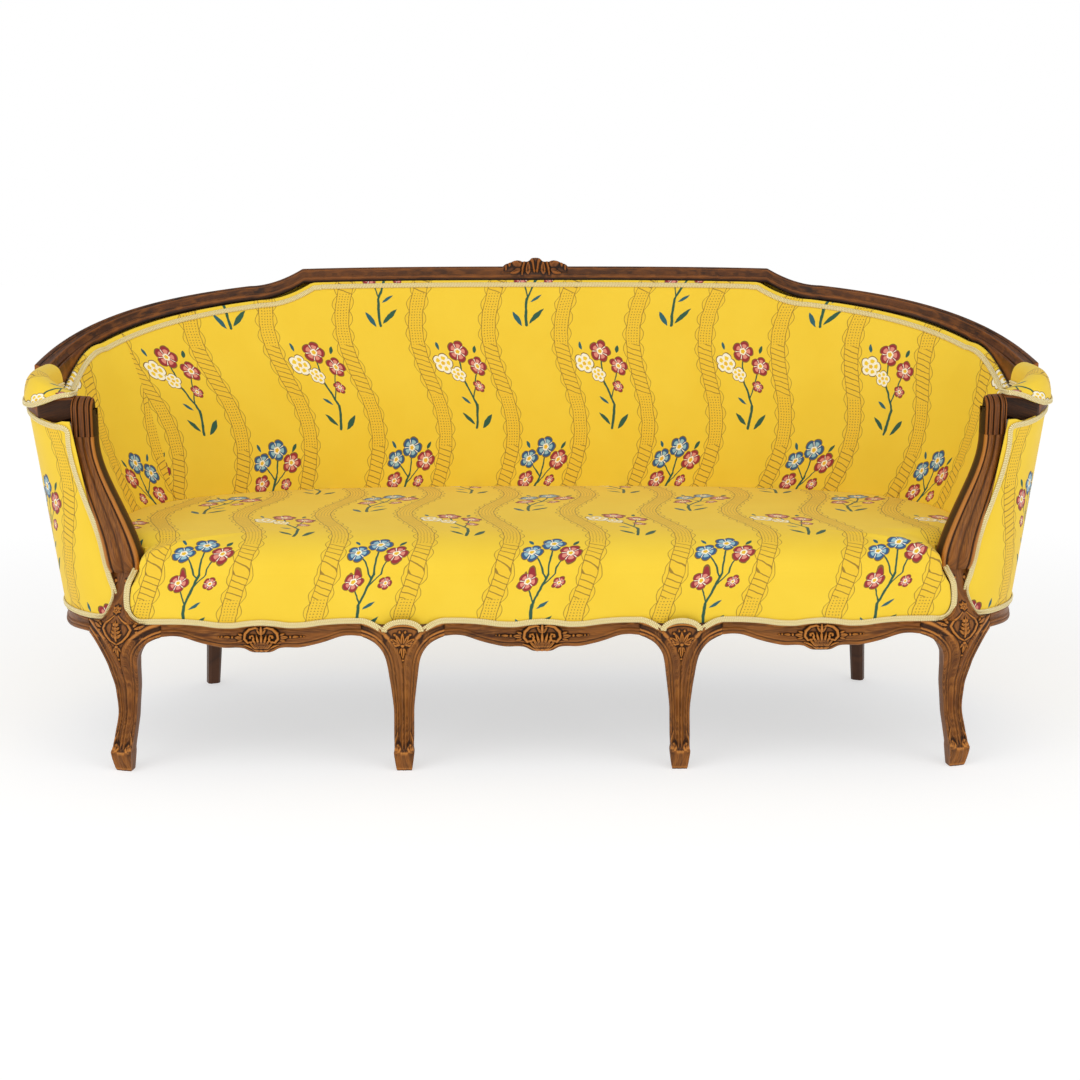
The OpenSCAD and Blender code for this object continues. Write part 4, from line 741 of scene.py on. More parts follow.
def ankle(b, z):
    """Small rolled leaves at the sides of the ankle, over the plain block of the foot."""
    q = np.abs(b)
    roll = most(dot(q, z, 15.5, 44, 6.0, 3.0), stroke(q, z, scroll(14, 46, 8.5, 0.8, -70, -1), 2.2, 2.6),
                stroke(q, z, [(17, 52), (15.5, 64), (12, 76)], [2.6, 2.0, 0.6], 2.2))
    step = 1.6 * ease((39.5 - z) / 2.5) * ease(z / 4)
    return most(roll, step)


def middle_relief(b, z, e):
    """A fan of petals in the lobe, with a bud that hangs into the point of the V."""
    petals = leaves(b, z, *[(3.5 * math.sin(a * deg), 251 - 2 * math.cos(a * deg), 90 - a, 25 - abs(a) * 0.03,
                             4.8, 5.0) for a in (-84, -56, -28, 0, 28, 56, 84)])
    berries = dots(b, z, *[(22 * math.sin(a * deg), 253 + 23 * math.cos(a * deg), 2.4, 4.4)
                           for a in (-70, -42, -14, 14, 42, 70)])
    bud = most(leaves(b, z, (0, 248, -90, 27, 4.6, 5.4), (0, 246, -62, 15, 3.0, 3.8), (0, 246, -118, 15, 3.0, 3.8)),
               dots(b, z, (0, 219, 2.2, 3.4), (0, 249, 4.0, 6.4)))
    return most(most(petals, berries, bud) * ease((e - 0.9) * 8), ankle(b, z))


def corner_relief(b, z, e):
    """A rounded diamond with a leaf, a small flower in the throat of the post and a drop under the diamond."""
    q = np.abs(b)
    rim = stroke(q, z, [(0, 251), (11, 258), (21, 269), (27, 281), (22, 291), (12, 299), (4, 307)],
                 [1.4, 2.0, 2.4, 2.4, 2.2, 1.8, 1.0], 3.4)
    veins = leaves(b, z, *[(0, 264 + k * 8, 90 + side * 50, 14 - k * 2.2, 3.4, 4.8)
                           for k in range(4) for side in (-1, 1)])
    spine = most(leaf(b, z, 0, 257, 90, 42, 3.6, 5.4, 0.2), veins)
    flower = most(leaves(b, z, *[(0, 318, a, 8.6, 3.6, 4.6) for a in (30, 90, 150, 210, 270, 330)]),
                  dot(b, z, 0, 318, 2.6, 5.6))
    drop = most(leaves(b, z, (0, 246, -90, 20, 3.6, 4.8), (0, 247, -52, 13, 2.8, 3.6), (0, 247, -128, 13, 2.8, 3.6)),
                dots(b, z, (0, 247, 3.2, 5.0), (0, 221, 2.2, 3.4)))
    sprays = leaves(q, z, (33, 282, 18, 20, 3.6, 3.6), (31, 286, 48, 14, 3.0, 3.4), (34, 277, -12, 13, 2.8, 3.0))
    curls = most(dot(q, z, 12.0, 369, 3.6, 3.2),
                 stroke(q, z, [(12, 369), (15.5, 362), (14, 350)], [2.2, 1.8, 0.8], 2.4))
    return most(most(rim, spine, drop, sprays) * ease((e - 0.94) * 8), flower, curls, ankle(b, z))


def front_legs():
    inner = leg_skin(Piece(), LEG_GAP / 2, 0.0, middle_relief, False)
    inner.pair("front_leg_inner", WALNUT, "walnut")
    outer = leg_skin(Piece(), CORNER_U, 0.4, corner_relief, True)
    outer.pair("front_leg_outer", WALNUT, "walnut")


# ---------------------------------------------------------------- rails of the seat
DROP = [[0, 1], [0.1, 0.95], [0.18, 0.68], [0.39, 0.62], [0.63, 0.25], [0.85, 0], [1, 0]]
LIFT = [[0, 0], [0.55, 0], [0.9, 1], [1, 0.75]]
WAVE = [[0, -0.33], [0.13, -0.55], [0.3, -1], [0.43, -0.9], [0.62, -0.33], [0.88, 0], [1, 0]]
CENTER_HALF = LEG_GAP / 2 - KNEE_REACH
BAY_IN, BAY_OUT = LEG_GAP / 2 + KNEE_REACH, CORNER_U - KNEE_REACH
BAY_MID, BAY_HALF = (BAY_IN + BAY_OUT) / 2, (BAY_OUT - BAY_IN) / 2


def apron_low(s):
    return RAIL_LOW_H - 26 * table(np.abs(s), DROP) + 7 * table(np.abs(s), LIFT)


def apron_high(s):
    return RAIL_H + 8.32 * table(np.abs(s), WAVE)


def apron_relief(scale):
    def relief(x, z):
        """Paired C-scrolls round a fluted shell, with husks and berries trailing out along the rail."""
        x, z = x / scale, (z - RAIL_LOW_H) / scale
        q = np.abs(x)
        shell = leaves(x, z, *[(a * 0.05, -25, 90 - a, 40 - abs(a) * 0.14, 4.2, 6.4, 0.3)
                               for a in (-48, -32, -16, 0, 16, 32, 48)])
        scrolls = most(stroke(q, z, [(3, 22), (12, 25), (24, 22), (33, 13), (35, 2), (28, -6), (19, -5), (15, 2),
                                     (18, 8), (24, 7)], [1.6, 2.6, 3.2, 3.4, 3.2, 2.8, 2.5, 2.2, 2.0, 1.8], 5.4),
                       dot(q, z, 23, 4.5, 3.0, 5.6),
                       stroke(q, z, [(9, -24), (17, -19), (27, -14), (37, -11)], [2.6, 2.4, 2.2, 1.0], 4.4))
        husk = most(leaves(q, z, (38, 4, 2, 18, 4.4, 3.6), (37, 8, 20, 13, 2.8, 3.0), (37, 0, -16, 14, 2.8, 3.0),
                           (64, 5, 3, 15, 2.6, 2.6)),
                    dots(q, z, (60, 5, 2.6, 3.2), (82, 6, 1.9, 2.4), (88, 6, 1.4, 2.0)))
        crown = most(leaf(x, z, 0, 10, 90, 20, 3.6, 5.6), leaf(q, z, 1, 10, 55, 17, 3.0, 4.6))
        return most(shell, dot(x, z, 0, -22, 4.2, 6.6), scrolls, husk, crown) * scale
    return relief


def rail_skin(piece, us, low, high, relief=None, middle=0.0):
    """A seat rail with a bead at either edge of its face, a line above the lower bead and a wide cove between."""
    v = np.linspace(0, 1, 64)
    z = low[:, None] + (high - low)[:, None] * v
    from_low, from_high = z - low[:, None], high[:, None] - z
    face = band_depth(from_low, (high - low)[:, None] + 0 * z)
    up = relief((us - middle)[:, None] + 0 * z, z) if relief else 0 * z
    clear = np.minimum(1, np.maximum(up, 0) * 2)
    d = face * (1 - clear * 0.7) - up * ease(from_low / 3) * ease(from_high / 3)
    flat = 0 * us
    back_d = np.stack([flat + RAIL_T, flat + RAIL_T, flat + RAIL_T - 3, flat + 16, flat + 3], -1)
    back_z = np.stack([high, low + 3, low, low, low], -1)
    dd, zz = np.concatenate([d, back_d], 1), np.concatenate([z, back_z], 1)
    rings = frame_at(us[:, None], dd, zz)
    # tone for the colour: painted shade in the moulding's and carving's hollows and over the rail's back and underside;
    # the lower front edge painted pale as a highlight line
    tone = np.concatenate([hollows(up - face, 3, 1.1), np.full(back_d.shape, -0.3)], 1)
    tone[:, 0] = 0.3
    uv = np.stack([us[:, None] + 0 * zz, zz + dd], -1) * MM
    return piece.skin(rings, wrap_uv(uv), tone)


def seat_rails():
    us = np.linspace(-CENTER_HALF, CENTER_HALF, 300)
    s = us / CENTER_HALF
    center = rail_skin(Piece(), us, apron_low(s), apron_high(s), apron_relief(1.0))
    center.build("apron_center", WALNUT, "walnut", ["apron_center"])
    us = np.linspace(BAY_IN, BAY_OUT, 300)
    s = (us - BAY_MID) / BAY_HALF
    rail_skin(Piece(), us, apron_low(s), apron_high(s), apron_relief(0.92), BAY_MID).pair("apron", WALNUT, "walnut")
    us = np.linspace(CORNER_U + KNEE_REACH, REAR_U - REAR_LEG_HALF, 90)
    low = RAIL_LOW_H + 5.25 * (1 - ease((us - us[0]) / 110))
    rail_skin(Piece(), us, low, 0 * us + RAIL_H).pair("side_rail", WALNUT, "walnut")
    us = np.linspace(REAR_U + REAR_LEG_HALF, PATH_U[-1] - 0.01, 60)
    half = rail_skin(Piece(), us, 0 * us + RAIL_LOW_H, 0 * us + RAIL_H)
    v = half.v[0][:-2].reshape(60, -1, 3)
    both = np.concatenate([v, (v * [-1, 1, 1])[::-1][1:]])
    Piece().skin(both).build("rear_rail", SHADE, "dark_walnut", ["rear_rail"])


# ---------------------------------------------------------------- top rail and arms
TOP_FACE = [[0, -0.73], [0.004, -0.3], [0.02, -0.14], [0.06, -0.04], [0.12, 0], [0.18, -0.025], [0.222, -0.1],
            [0.236, -0.16], [0.262, -0.13], [0.32, -0.2], [0.42, -0.235], [0.5, -0.19], [0.545, -0.1], [0.585, -0.07],
            [0.62, -0.1], [0.645, -0.2], [0.69, -0.36], [0.75, -0.5], [0.785, -0.56], [0.805, -0.55], [0.84, -0.49],
            [0.89, -0.49], [0.94, -0.54], [0.98, -0.64], [1, -0.74]]
CREST_LIFT = [[0, 0], [0.1, 0.1], [0.16, 0.75], [0.3, 1], [0.54, 1], [0.72, 0.9], [0.85, 0.4], [1, 0]]
CRESTING = [[0, 1], [0.12, 0.94], [0.26, 0.6], [0.4, 0.66], [0.58, 0.72], [0.78, 0.5], [0.95, 0.25], [1, 0]]


def t_at(x, z):
    return np.degrees(np.arccos(np.clip(x / wall_a(z), 0, 1) ** (CORNER_POWER / 2)))


CREST_T = float(t_at(CREST_HALF, CREST_H))


def even_turns(a, b, step):
    t = np.linspace(a, b, 2000)
    x, y = plan(t, rail_z(t))
    line, _ = along_line(np.stack([x, y, rail_z(t), t], -1), step)
    return line[:, 3]


def crest_carving(x, w):
    """A low fan over two arched mounds, with leaves and small flowers at the ends. w runs from 0 at the rail's inner
    edge to 46 at its crest."""
    q = np.abs(x)
    fan = most(leaves(x, w, *[(0, 24, 90 - a, 25, 5.4, 6.4, 0.3) for a in (-58, -30, 0, 30, 58)]),
               dot(x, w, 0, 26, 4.2, 7))
    mound = most(stroke(q, w, [(3, 6), (6, 15), (14, 22), (23, 21), (29, 12), (30, 4)], 2.6, 4.4),
                 leaf(q, w, 17, 2, 90, 18, 6.5, 4.2))
    ends = most(leaves(q, w, (30, 16, 12, 30, 6.4, 5.6), (32, 20, 40, 22, 5.2, 5.0), (32, 10, -14, 26, 5.0, 4.4)),
                dots(q, w, (44, 29, 5.2, 5.4), (58, 19, 4.2, 4.4), (66, 15, 2.6, 3.0)))
    return most(fan, mound, ends)


def top_rings(t):
    """The moulded top rail at angles t: its face falls inwards in beads and coves, and the cresting stands on it."""
    f = np.linspace(0, 1, 74)
    h = table(f, TOP_FACE)
    f = np.concatenate([[0.92, 0.5, 0.08], f, [1.0]])
    h = np.concatenate([[-1, -1, -1], h, [-0.88]])
    rise = np.concatenate([[0, 0, 0], table(np.linspace(0, 1, 74), CREST_LIFT), [0]])
    z = rail_z(t)
    x, y = plan(t, z)
    ox, oy = facing(t, z)
    q = np.abs(x) / (CRESTING_W / 2)
    lift = np.where(q < 1, CRESTING_H * table(q, CRESTING), 0)
    deeper = z - TOP_T - wall_top(t)
    zz = z[:, None] + h * TOP_T - deeper[:, None] * unit((-h - 0.5) / 0.18) + lift[:, None] * rise
    w = f * TOP_W
    xx, yy = x[:, None] - w * ox[:, None], y[:, None] - w * oy[:, None]
    up = np.zeros_like(zz)
    if (np.abs(x) < CRESTING_W / 2 + 4).any():
        up = crest_carving(x[:, None] + 0 * zz, (1 - f)[None, :] * 46 + 0 * zz)
        up = up * ease((CRESTING_W / 2 + 2 - np.abs(x)) / 8)[:, None]
        up[:, :4] = up[:, -1:] = 0
        xx, yy, zz = xx - up * 0.72 * ox[:, None], yy - up * 0.72 * oy[:, None], zz + up * 0.5
    # tone for the colour: painted shade in the moulding's coves, the carving's hollows and along the rail's underside
    profile = np.concatenate([[-6] * 3, h[3:-1] * TOP_T, [-26]])
    tone = hollows(np.broadcast_to(profile, zz.shape) * 0.5 + up, 3, 1.2)
    tone[:, :3] = -0.2
    along = np.concatenate([[0], np.cumsum(np.hypot(np.diff(x), np.diff(y)))])
    uv = np.stack([along[:, None] + 0 * zz, w + 0 * zz + h * 20], -1) * MM
    return np.stack([xx, yy, zz], -1), uv, tone


def top_rails():
    t = t_at(np.linspace(CREST_HALF, 0, 330), CREST_H)
    rings, uv, tone = top_rings(t)
    both = np.concatenate([rings * [-1, 1, 1], rings[::-1][1:]])
    uv = np.concatenate([uv, (uv * [-1, 1] + [2 * uv[-1, 0, 0], 0])[::-1][1:]])
    crest = Piece().skin(both, wrap_uv(uv), np.concatenate([tone, tone[::-1][1:]]))
    crest.build("crest_rail", DARK, "dark_walnut", ["crest_rail"])
    rings, uv, tone = top_rings(even_turns(CREST_T, PAD_T, 3.0))
    Piece().skin(rings, wrap_uv(uv), tone).pair("top_rail", DARK, "dark_walnut")


REEDS = [[0, 0], [0.1, -0.02], [0.135, -0.075], [0.15, -0.09], [0.165, -0.075], [0.2, -0.01], [0.27, 0.01],
         [0.33, -0.02], [0.36, -0.08], [0.375, -0.095], [0.39, -0.08], [0.42, -0.05], [0.46, -0.09], [0.5, -0.26]]
RIBS = [[0, -0.06], [0.03, -0.05], [0.08, -0.015], [0.17, 0.012], [0.25, 0], [0.3, -0.035], [0.325, -0.075],
        [0.345, -0.085], [0.365, -0.07], [0.4, -0.03], [0.43, -0.03], [0.46, -0.06], [0.48, -0.13], [0.5, -0.3]]
HOLD_SIDE = np.array([math.cos(HOLD_TURN * deg), math.sin(HOLD_TURN * deg), 0])
HOLD_FRONT = np.array([math.sin(HOLD_TURN * deg), -math.cos(HOLD_TURN * deg), 0])
HOLD_AT = np.array([KNUCKLE_X, FRONT_Y + KNUCKLE_Y, 0])
ROLL_R, KNUCKLE_DEPTH = 24.2, 41.8


def arm_top(t):
    return mix(KNUCKLE_H, ARM_H - PAD_H, unit((t + FRONT_TURN) / FRONT_TURN))


def arm_width(t):
    return mix(TOP_W, KNUCKLE_W, unit(-t / FRONT_TURN))


def arm_line(t):
    x, y = plan(t, KNUCKLE_H)
    ox, oy = facing(t, KNUCKLE_H)
    w = arm_width(t)
    return np.stack([x - ox * w / 2, y - oy * w / 2, arm_top(t)], -1), np.stack([ox, oy, 0 * ox], -1)


def bar_rings(centre, side, up, w, thick, profile):
    """Rings of a bar whose face has that profile across its width; back and sides are plain."""
    f = np.linspace(-0.5, 0.5, 65)
    h = table(np.abs(f), profile)
    f = np.concatenate([[-0.5, -0.46, 0.46, 0.5], f[::-1]])
    h = np.concatenate([[-0.9, -1, -1, -0.9], h[::-1]])
    face = centre[:, None] + (f * w[:, None])[..., None] * side[:, None] + (h * thick[:, None])[..., None] * up[:, None]
    # tone for the colour: painted shade in the grooves between the reeds and, a little, over the bar's sides and back
    tone = hollows(np.broadcast_to(h * 42.0, face.shape[:2]).copy(), 3, 1.2)
    tone[:, :4] = -0.1
    return face, tone


def arm_pieces():
    ts = np.linspace(PAD_T, PAD_END, 60)
    c, o = arm_line(ts)
    up = np.array([0, 0, 1.0])
    b = np.linspace(4, 90, 40) * deg
    roll = (HOLD_AT - ROLL_R * HOLD_FRONT * (1 - np.sin(b))[:, None]
            + up * (KNUCKLE_H - ROLL_R * (1 - np.cos(b)))[:, None])
    down = HOLD_AT + up * np.linspace(KNUCKLE_H - ROLL_R - 1, SUPPORT_H, 36)[:, None]
    centre = np.concatenate([c, roll, down])
    side = np.concatenate([o, roll * 0 + HOLD_SIDE, down * 0 + HOLD_SIDE])
    turned = np.concatenate([c * 0 + up, np.sin(b)[:, None] * HOLD_FRONT + np.cos(b)[:, None] * up,
                             down * 0 + HOLD_FRONT])
    w = np.concatenate([arm_width(ts), b * 0 + KNUCKLE_W, down[:, 0] * 0 + KNUCKLE_W])
    thick = np.concatenate([arm_top(ts) - wall_top(ts) + 16 * ease((-ts - 36) / 8),
                            mix(ARM_RAIL_T + 16, KNUCKLE_DEPTH, np.sin(b)), down[:, 0] * 0 + KNUCKLE_DEPTH])
    rings, tone = bar_rings(centre, side, turned, w, thick, REEDS)
    # painted shade down both sides of the arm rail where it turns over the knuckle
    tone[len(ts) - 4:len(ts) + 12, :6] = tone[len(ts) - 4:len(ts) + 12, -3:] = -0.34
    Piece().skin(rings, None, tone).pair("arm_rail", DARK, "dark_walnut")
    s = np.linspace(1, 0, 170)
    w = support_width(s)
    tuck = 6 * (1 - np.minimum(1, s / 0.12)) ** 2
    c = np.stack([mix(SUPPORT_X, KNUCKLE_X, ease(s)), mix(FRONT_Y + SUPPORT_BACK, FRONT_Y + KNUCKLE_Y, ease(s)) + tuck,
                  mix(SUPPORT_LOW, SUPPORT_H, s)], -1)
    thick = mix(KNUCKLE_DEPTH * 1.1, KNUCKLE_DEPTH, s) - 2 * tuck
    rings, tone = bar_rings(c, c * 0 + HOLD_SIDE, c * 0 + HOLD_FRONT, w, thick, RIBS)
    Piece().skin(rings, None, tone).pair("arm_support", WALNUT, "walnut")


# ---------------------------------------------------------------- upholstery
def wall_place(t, z, sets, side=1):
    x, y = plan(t, z, sets)
    return np.stack([side * x, y, z + 0 * x], -1)


def face_sets(t, z, extra=0.0):
    """How far in the stuffed inner face lies, with its swell over the seat."""
    top = wall_top(t)
    swell = BACK_CROWN * np.sin(math.pi * unit((z - SEAT_H) / (top - SEAT_H)))
    fold = 1 - np.sqrt(1 - unit((z - top + 26) / 27) ** 2)
    return tuple(v + swell + extra - np.maximum(v - 48.5, 0) * fold for v in inner_set(t, z))


def wall_turns(t0, t1, step=9.0):
    """Angles along the wall in even steps of length. Angles over 90 stand for the left side."""
    t = np.linspace(t0, t1, 4000)
    x, y = plan(np.minimum(t, 180 - t), SEAT_H)
    line, _ = along_line(np.stack([np.where(t > 90, -x, x), y, 0 * x, t], -1), step)
    return line[:, 3]


def wall_length():
    t = np.linspace(90, -85, 3000)
    x, y = plan(t, SEAT_H)
    return t, np.concatenate([[0], np.cumsum(np.hypot(np.diff(x), np.diff(y)))])


WALL_T, WALL_S = wall_length()


def wall_s(t):
    """Length along the wall from the middle of the back to angle t, less than 0 on the left."""
    right = np.minimum(t, 180 - t)
    return np.where(t > 90, -1, 1) * np.interp(-right, -WALL_T, WALL_S)


def wall_skin(ts, near, far, low, high, rows):
    """A layer of the wall between two faces, each a function of angle and height that gives the three distances in."""
    right = np.minimum(ts, 180 - ts)
    side = np.where(ts > 90, -1.0, 1.0)
    f = rows[None, :]
    lo, hi = low(right)[:, None], high(right)[:, None]
    z = lo + (hi - lo) * f
    t2 = right[:, None] + 0 * z
    a, b = wall_place(t2, z, near(t2, z)), wall_place(t2, z, far(t2, z))
    for p in (a, b):
        p[..., 0] *= side[:, None]
    rings = np.concatenate([a, b[:, ::-1]], 1)
    zz = np.concatenate([z, z[:, ::-1]], 1)
    uv = np.stack([wall_s(ts)[:, None] + 0 * zz, zz - SEAT_H], -1) * MM
    return rings, wrap_uv(uv)


def top_of(t):
    return wall_top(t) - GAP * np.where(t > SHOULDER_T + 1, 3, 7)


def post_share(z):
    return unit((z - RAIL_H) / (SUPPORT_LOW - RAIL_H))


def post_side(p, side):
    """Where the post's inner or outer side lies behind its face."""
    front = mix(float(leg_front(1.0)), SUPPORT_BACK - KNEE_OUT, ease(p))
    u = CORNER_U - (CORNER_U - SUPPORT_X) * 0.6 * p + side * KNEE_REACH * table(p, POST)
    return frame_at(u, front + 40 * (0.8 if side < 0 else 0.3), 0 * p)[..., 0]


SUPPORT_TAPER = [[0, 0.5], [0.05, 0.12], [0.12, 0], [0.24, 0.13], [0.44, 0.43], [0.86, 1.04], [1, 1]]


def support_width(s):
    """Width of the arm support, s from its foot up: a scroll, a waist, and straight up to the hand-hold."""
    return mix(SUPPORT_W, KNUCKLE_W, table(s, SUPPORT_TAPER))


def panel_turn(z):
    """Angle where the outer panel meets the arm support, and below it the post."""
    s = unit((z - SUPPORT_LOW) / (SUPPORT_H - SUPPORT_LOW))
    bar = mix(SUPPORT_X, KNUCKLE_X, ease(s)) + support_width(s) / 2 * math.cos(HOLD_TURN * deg) - 1.4
    out = mix(post_side(post_share(z), 1), bar, ease((z - 340) / 44)) + 0.6
    cw = corner_size(z, CORNER_W, ARM_CORNER_W)
    return -np.maximum(FRONT_TURN, np.degrees(np.arccos(np.clip((out - wall_a(z) + cw) / cw, 0, 1))))


def covers():
    def inner(t0, t1):
        """Cloth 3 mm thick on the stuffed face, from under the seat to 2 mm inside the rail."""
        rows = np.concatenate([[0], np.linspace(0.02, 1, 56)])
        return wall_skin(wall_turns(t0, t1), face_sets, lambda t, z: face_sets(t, z, -3.0),
                         lambda t: 0 * t + WALL_LOW, lambda t: wall_top(t) + 2.0, rows)

    def high(t):
        """The outer cloth's top edge, which runs on under the top rail and under the hand-hold."""
        return top_of(t) + 8 * ease((t - PAD_T) / 3) + 5 * ease((6 - FRONT_TURN - t) / 6)

    def outer(ts, rows):
        return wall_skin(ts, lambda t, z: (0.0, 0.0, 0.0), lambda t, z: (3.0, 3.0, 1.98),
                         lambda t: 0 * t + RAIL_H + GAP, high, rows)

    seam = 30.0
    rings, uv = inner(180 - seam, seam)
    back = Piece().skin(rings, uv).build("inner_back_cover", COTTON, "print_fabric", ["inner_back_cover"])
    rings, uv = inner(seam, -FRONT_TURN)
    for p in Piece().skin(rings, uv).pair("inner_arm_cover", COTTON, "print_fabric"):
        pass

    rings, uv = outer(wall_turns(180 - REAR_LEG_T, REAR_LEG_T), np.linspace(0, 1, 40))
    back = Piece().skin(rings, uv).build("outer_back_cover", COTTON, "print_fabric", ["outer_back_cover"])
    width = (wall_s(REAR_LEG_T) * 2) * MM

    rows = np.linspace(0, 1, 60)
    rings, uv = outer(wall_turns(REAR_LEG_T, -FRONT_TURN), rows)
    z = mix(RAIL_H + GAP, float(high(np.array(-FRONT_TURN))), rows)
    f = np.linspace(0, 1, 12)[1:, None]
    t = -FRONT_TURN + (panel_turn(z) + FRONT_TURN) * f
    near, far = wall_place(t, z + 0 * t, (0, 0, 0)), wall_place(t, z + 0 * t, (3, 3, 2))
    rings = np.concatenate([rings, np.concatenate([near, far[:, ::-1]], 1)])
    front_uv = np.stack([wall_s(t), z - SEAT_H + 0 * t], -1) * MM
    uv = np.concatenate([uv, wrap_uv(np.concatenate([front_uv, front_uv[:, ::-1]], 1))])
    length = float(wall_s(-FRONT_TURN) - wall_s(REAR_LEG_T)) * MM
    for p, side in zip(Piece().skin(rings, uv).pair("outer_arm_cover", COTTON, "print_fabric"), ("right", "left")):
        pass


def seat_front(z):
    """Half the width of the seat between the posts at height z."""
    z = np.asarray(z, float)
    return mix(post_side(post_share(np.minimum(z, NECK_H)), -1), NECK_HALF, ease((z - NECK_H) / 36))


def seat_line():
    """Right half of the seat's edge from the middle of the front to the middle of the back, and how far each place
    is free to drop down the front: 1 along the front, 0 between the arms and the back."""
    half = float(seat_front(SEAT_H)) - 2 * GAP
    front_y = FRONT_Y + KNEE_OUT
    fx = np.linspace(0, 1, 70) ** 0.85 * (half - 7)
    a = np.linspace(-90, 0, 10)[1:] * deg
    corner = np.stack([half - 7 + 7 * np.cos(a), front_y + 7 + 7 * np.sin(a)], -1)
    front = np.concatenate([np.stack([fx, 0 * fx + front_y], -1), corner, [[half, front_y + 14]]])
    t = np.linspace(-FRONT_TURN, 90, 1500)
    x, y = plan(t, SEAT_H, tuple(v + 3 * GAP for v in inner_set(t, SEAT_H)))
    back = np.concatenate([[[half, front_y + 62]], np.stack([x, y], -1)[y > front_y + 64]])
    back, _ = along_line(np.concatenate([back, back[:, :1] * 0], 1), 11.0)
    line = np.concatenate([front, back[:, :2]])
    return line, np.concatenate([np.ones(len(front)), np.zeros(len(back))])


def edge_high(u):
    """Height of the show wood's upper edge at distance u along the frame."""
    v = np.abs(u)
    s1, s2 = unit(v / CENTER_HALF), unit(np.abs(v - BAY_MID) / BAY_HALF)
    leg = RAIL_H - knee_arc(v - LEG_GAP / 2)
    bay = np.where(v <= BAY_OUT, apron_high(s2), RAIL_H)
    return np.where(v <= CENTER_HALF, apron_high(s1), np.where(v < BAY_IN, leg, bay))


def seat_rings():
    """The stuffed seat: a low crown, a full rounded front that tucks in over the rail, and sides drawn down between
    the arms and the back. Rings run from the rail up the front and then inwards to the middle of the crown."""
    mid_y = (FRONT_Y + CENTER_Y + wall_b(SEAT_H) - BACK_WALL) / 2
    line, free = seat_line()
    half = float(seat_front(SEAT_H)) - 2 * GAP
    soft = free.copy()
    smooth(soft, 30)
    drop, reach = mix(15.0, 62.0, soft), mix(0.07, 0.34, soft)
    low = np.where(free > 0, edge_high(line[:, 0]) - 3.0, SEAT_H - 30)
    high = SEAT_H - 6 - drop
    rows, uvs = [], []
    for v in np.linspace(0, 1, 30):
        z = mix(low, high, v)
        out = free * (9.0 * np.sin(math.pi * mix(0.06, 0.5, v)) - 0.5)
        x = np.where(free > 0, line[:, 0] * (seat_front(z) - 2 * GAP) / half, line[:, 0])
        rows.append(np.stack([x, line[:, 1] - out, z], -1))
        uvs.append(np.stack([x, line[:, 1] - (high - z) - 46 * free], -1))
    for r in 1 - np.concatenate([np.linspace(0, 0.4, 34)[1:] ** 1.3 * 0.4 ** -0.3, np.linspace(0.4, 1, 24)[1:-1]]):
        roll = unit((1 - r) / reach)
        rise = np.sqrt(1 - (1 - roll) ** 2.2)
        z = SEAT_H - 6 * r * r - drop * (1 - rise)
        out = free * 8.5 * (1 - roll)
        rows.append(np.stack([line[:, 0] * min(1, r), mid_y + (line[:, 1] - mid_y) * r - out, z], -1))
        y = mid_y + (line[:, 1] - mid_y) * r
        uvs.append(np.stack([line[:, 0] * r, y - 46 * free * (1 - roll) ** 1.6], -1))
    right, uv = np.stack(rows), np.stack(uvs)
    both = np.concatenate([right, (right * [-1, 1, 1])[:, ::-1][:, 1:-1]], 1)
    uv = np.concatenate([uv, (uv * [-1, 1])[:, ::-1][:, 1:-1]], 1)
    under = both[:1].copy()
    under[..., 0] *= 0.9
    under[..., 1] = mid_y + (under[..., 1] - mid_y) * 0.9
    return np.concatenate([under, both]), np.concatenate([uv[:1], uv])


def seat_cover():
    rings, uv = seat_rings()
    seat = Piece().skin(rings, wrap_uv(uv * MM)).build("seat_cover", COTTON, "print_fabric", ["seat_cover"])


PAD = [[-0.5, 0], [-0.52, 0.3], [-0.49, 0.5], [-0.42, 0.74], [-0.28, 0.9], [-0.04, 1], [0.2, 0.96], [0.42, 0.76],
       [0.52, 0.42], [0.53, 0.25], [0.5, 0]]
PAD_HEIGHT = [[0, 1], [0.3, 0.97], [0.5, 0.88], [0.68, 0.66], [0.84, 0.38], [1, 0.12]]


def pad_frame(s):
    """Middle line, direction out and half width of a pad: along the arm, round its corner and up to the hand-hold."""
    t = np.linspace(PAD_T, PAD_END, 80)
    c, o = arm_line(t)
    end = HOLD_AT - HOLD_FRONT * ROLL_R + HOLD_SIDE * KNUCKLE_W * 0.5 + [0, 0, KNUCKLE_H]
    c = np.concatenate([c, end[None]])
    o = np.concatenate([o, [HOLD_FRONT]])
    rows, _ = along_line(np.concatenate([c, o], 1), 2.0)
    smooth(rows, 50)
    at = np.linspace(0, 1, len(rows))
    rows = np.stack([np.interp(s, at, rows[:, k]) for k in range(6)], -1)
    o = rows[:, 3:] / np.linalg.norm(rows[:, 3:], axis=-1, keepdims=True)
    return rows[:, :3], o, TOP_W / 2 * (1 - 0.16 * ease((s - 0.7) / 0.3))


def pad_drop(s, x):
    """How far the pad's outer edge hangs down over the arm, most at its middle."""
    return 23 * ease((s - 0.15) / 0.42) * (1 - ease((s - 0.66) / 0.34)) * ease((x + 0.05) / 0.5)


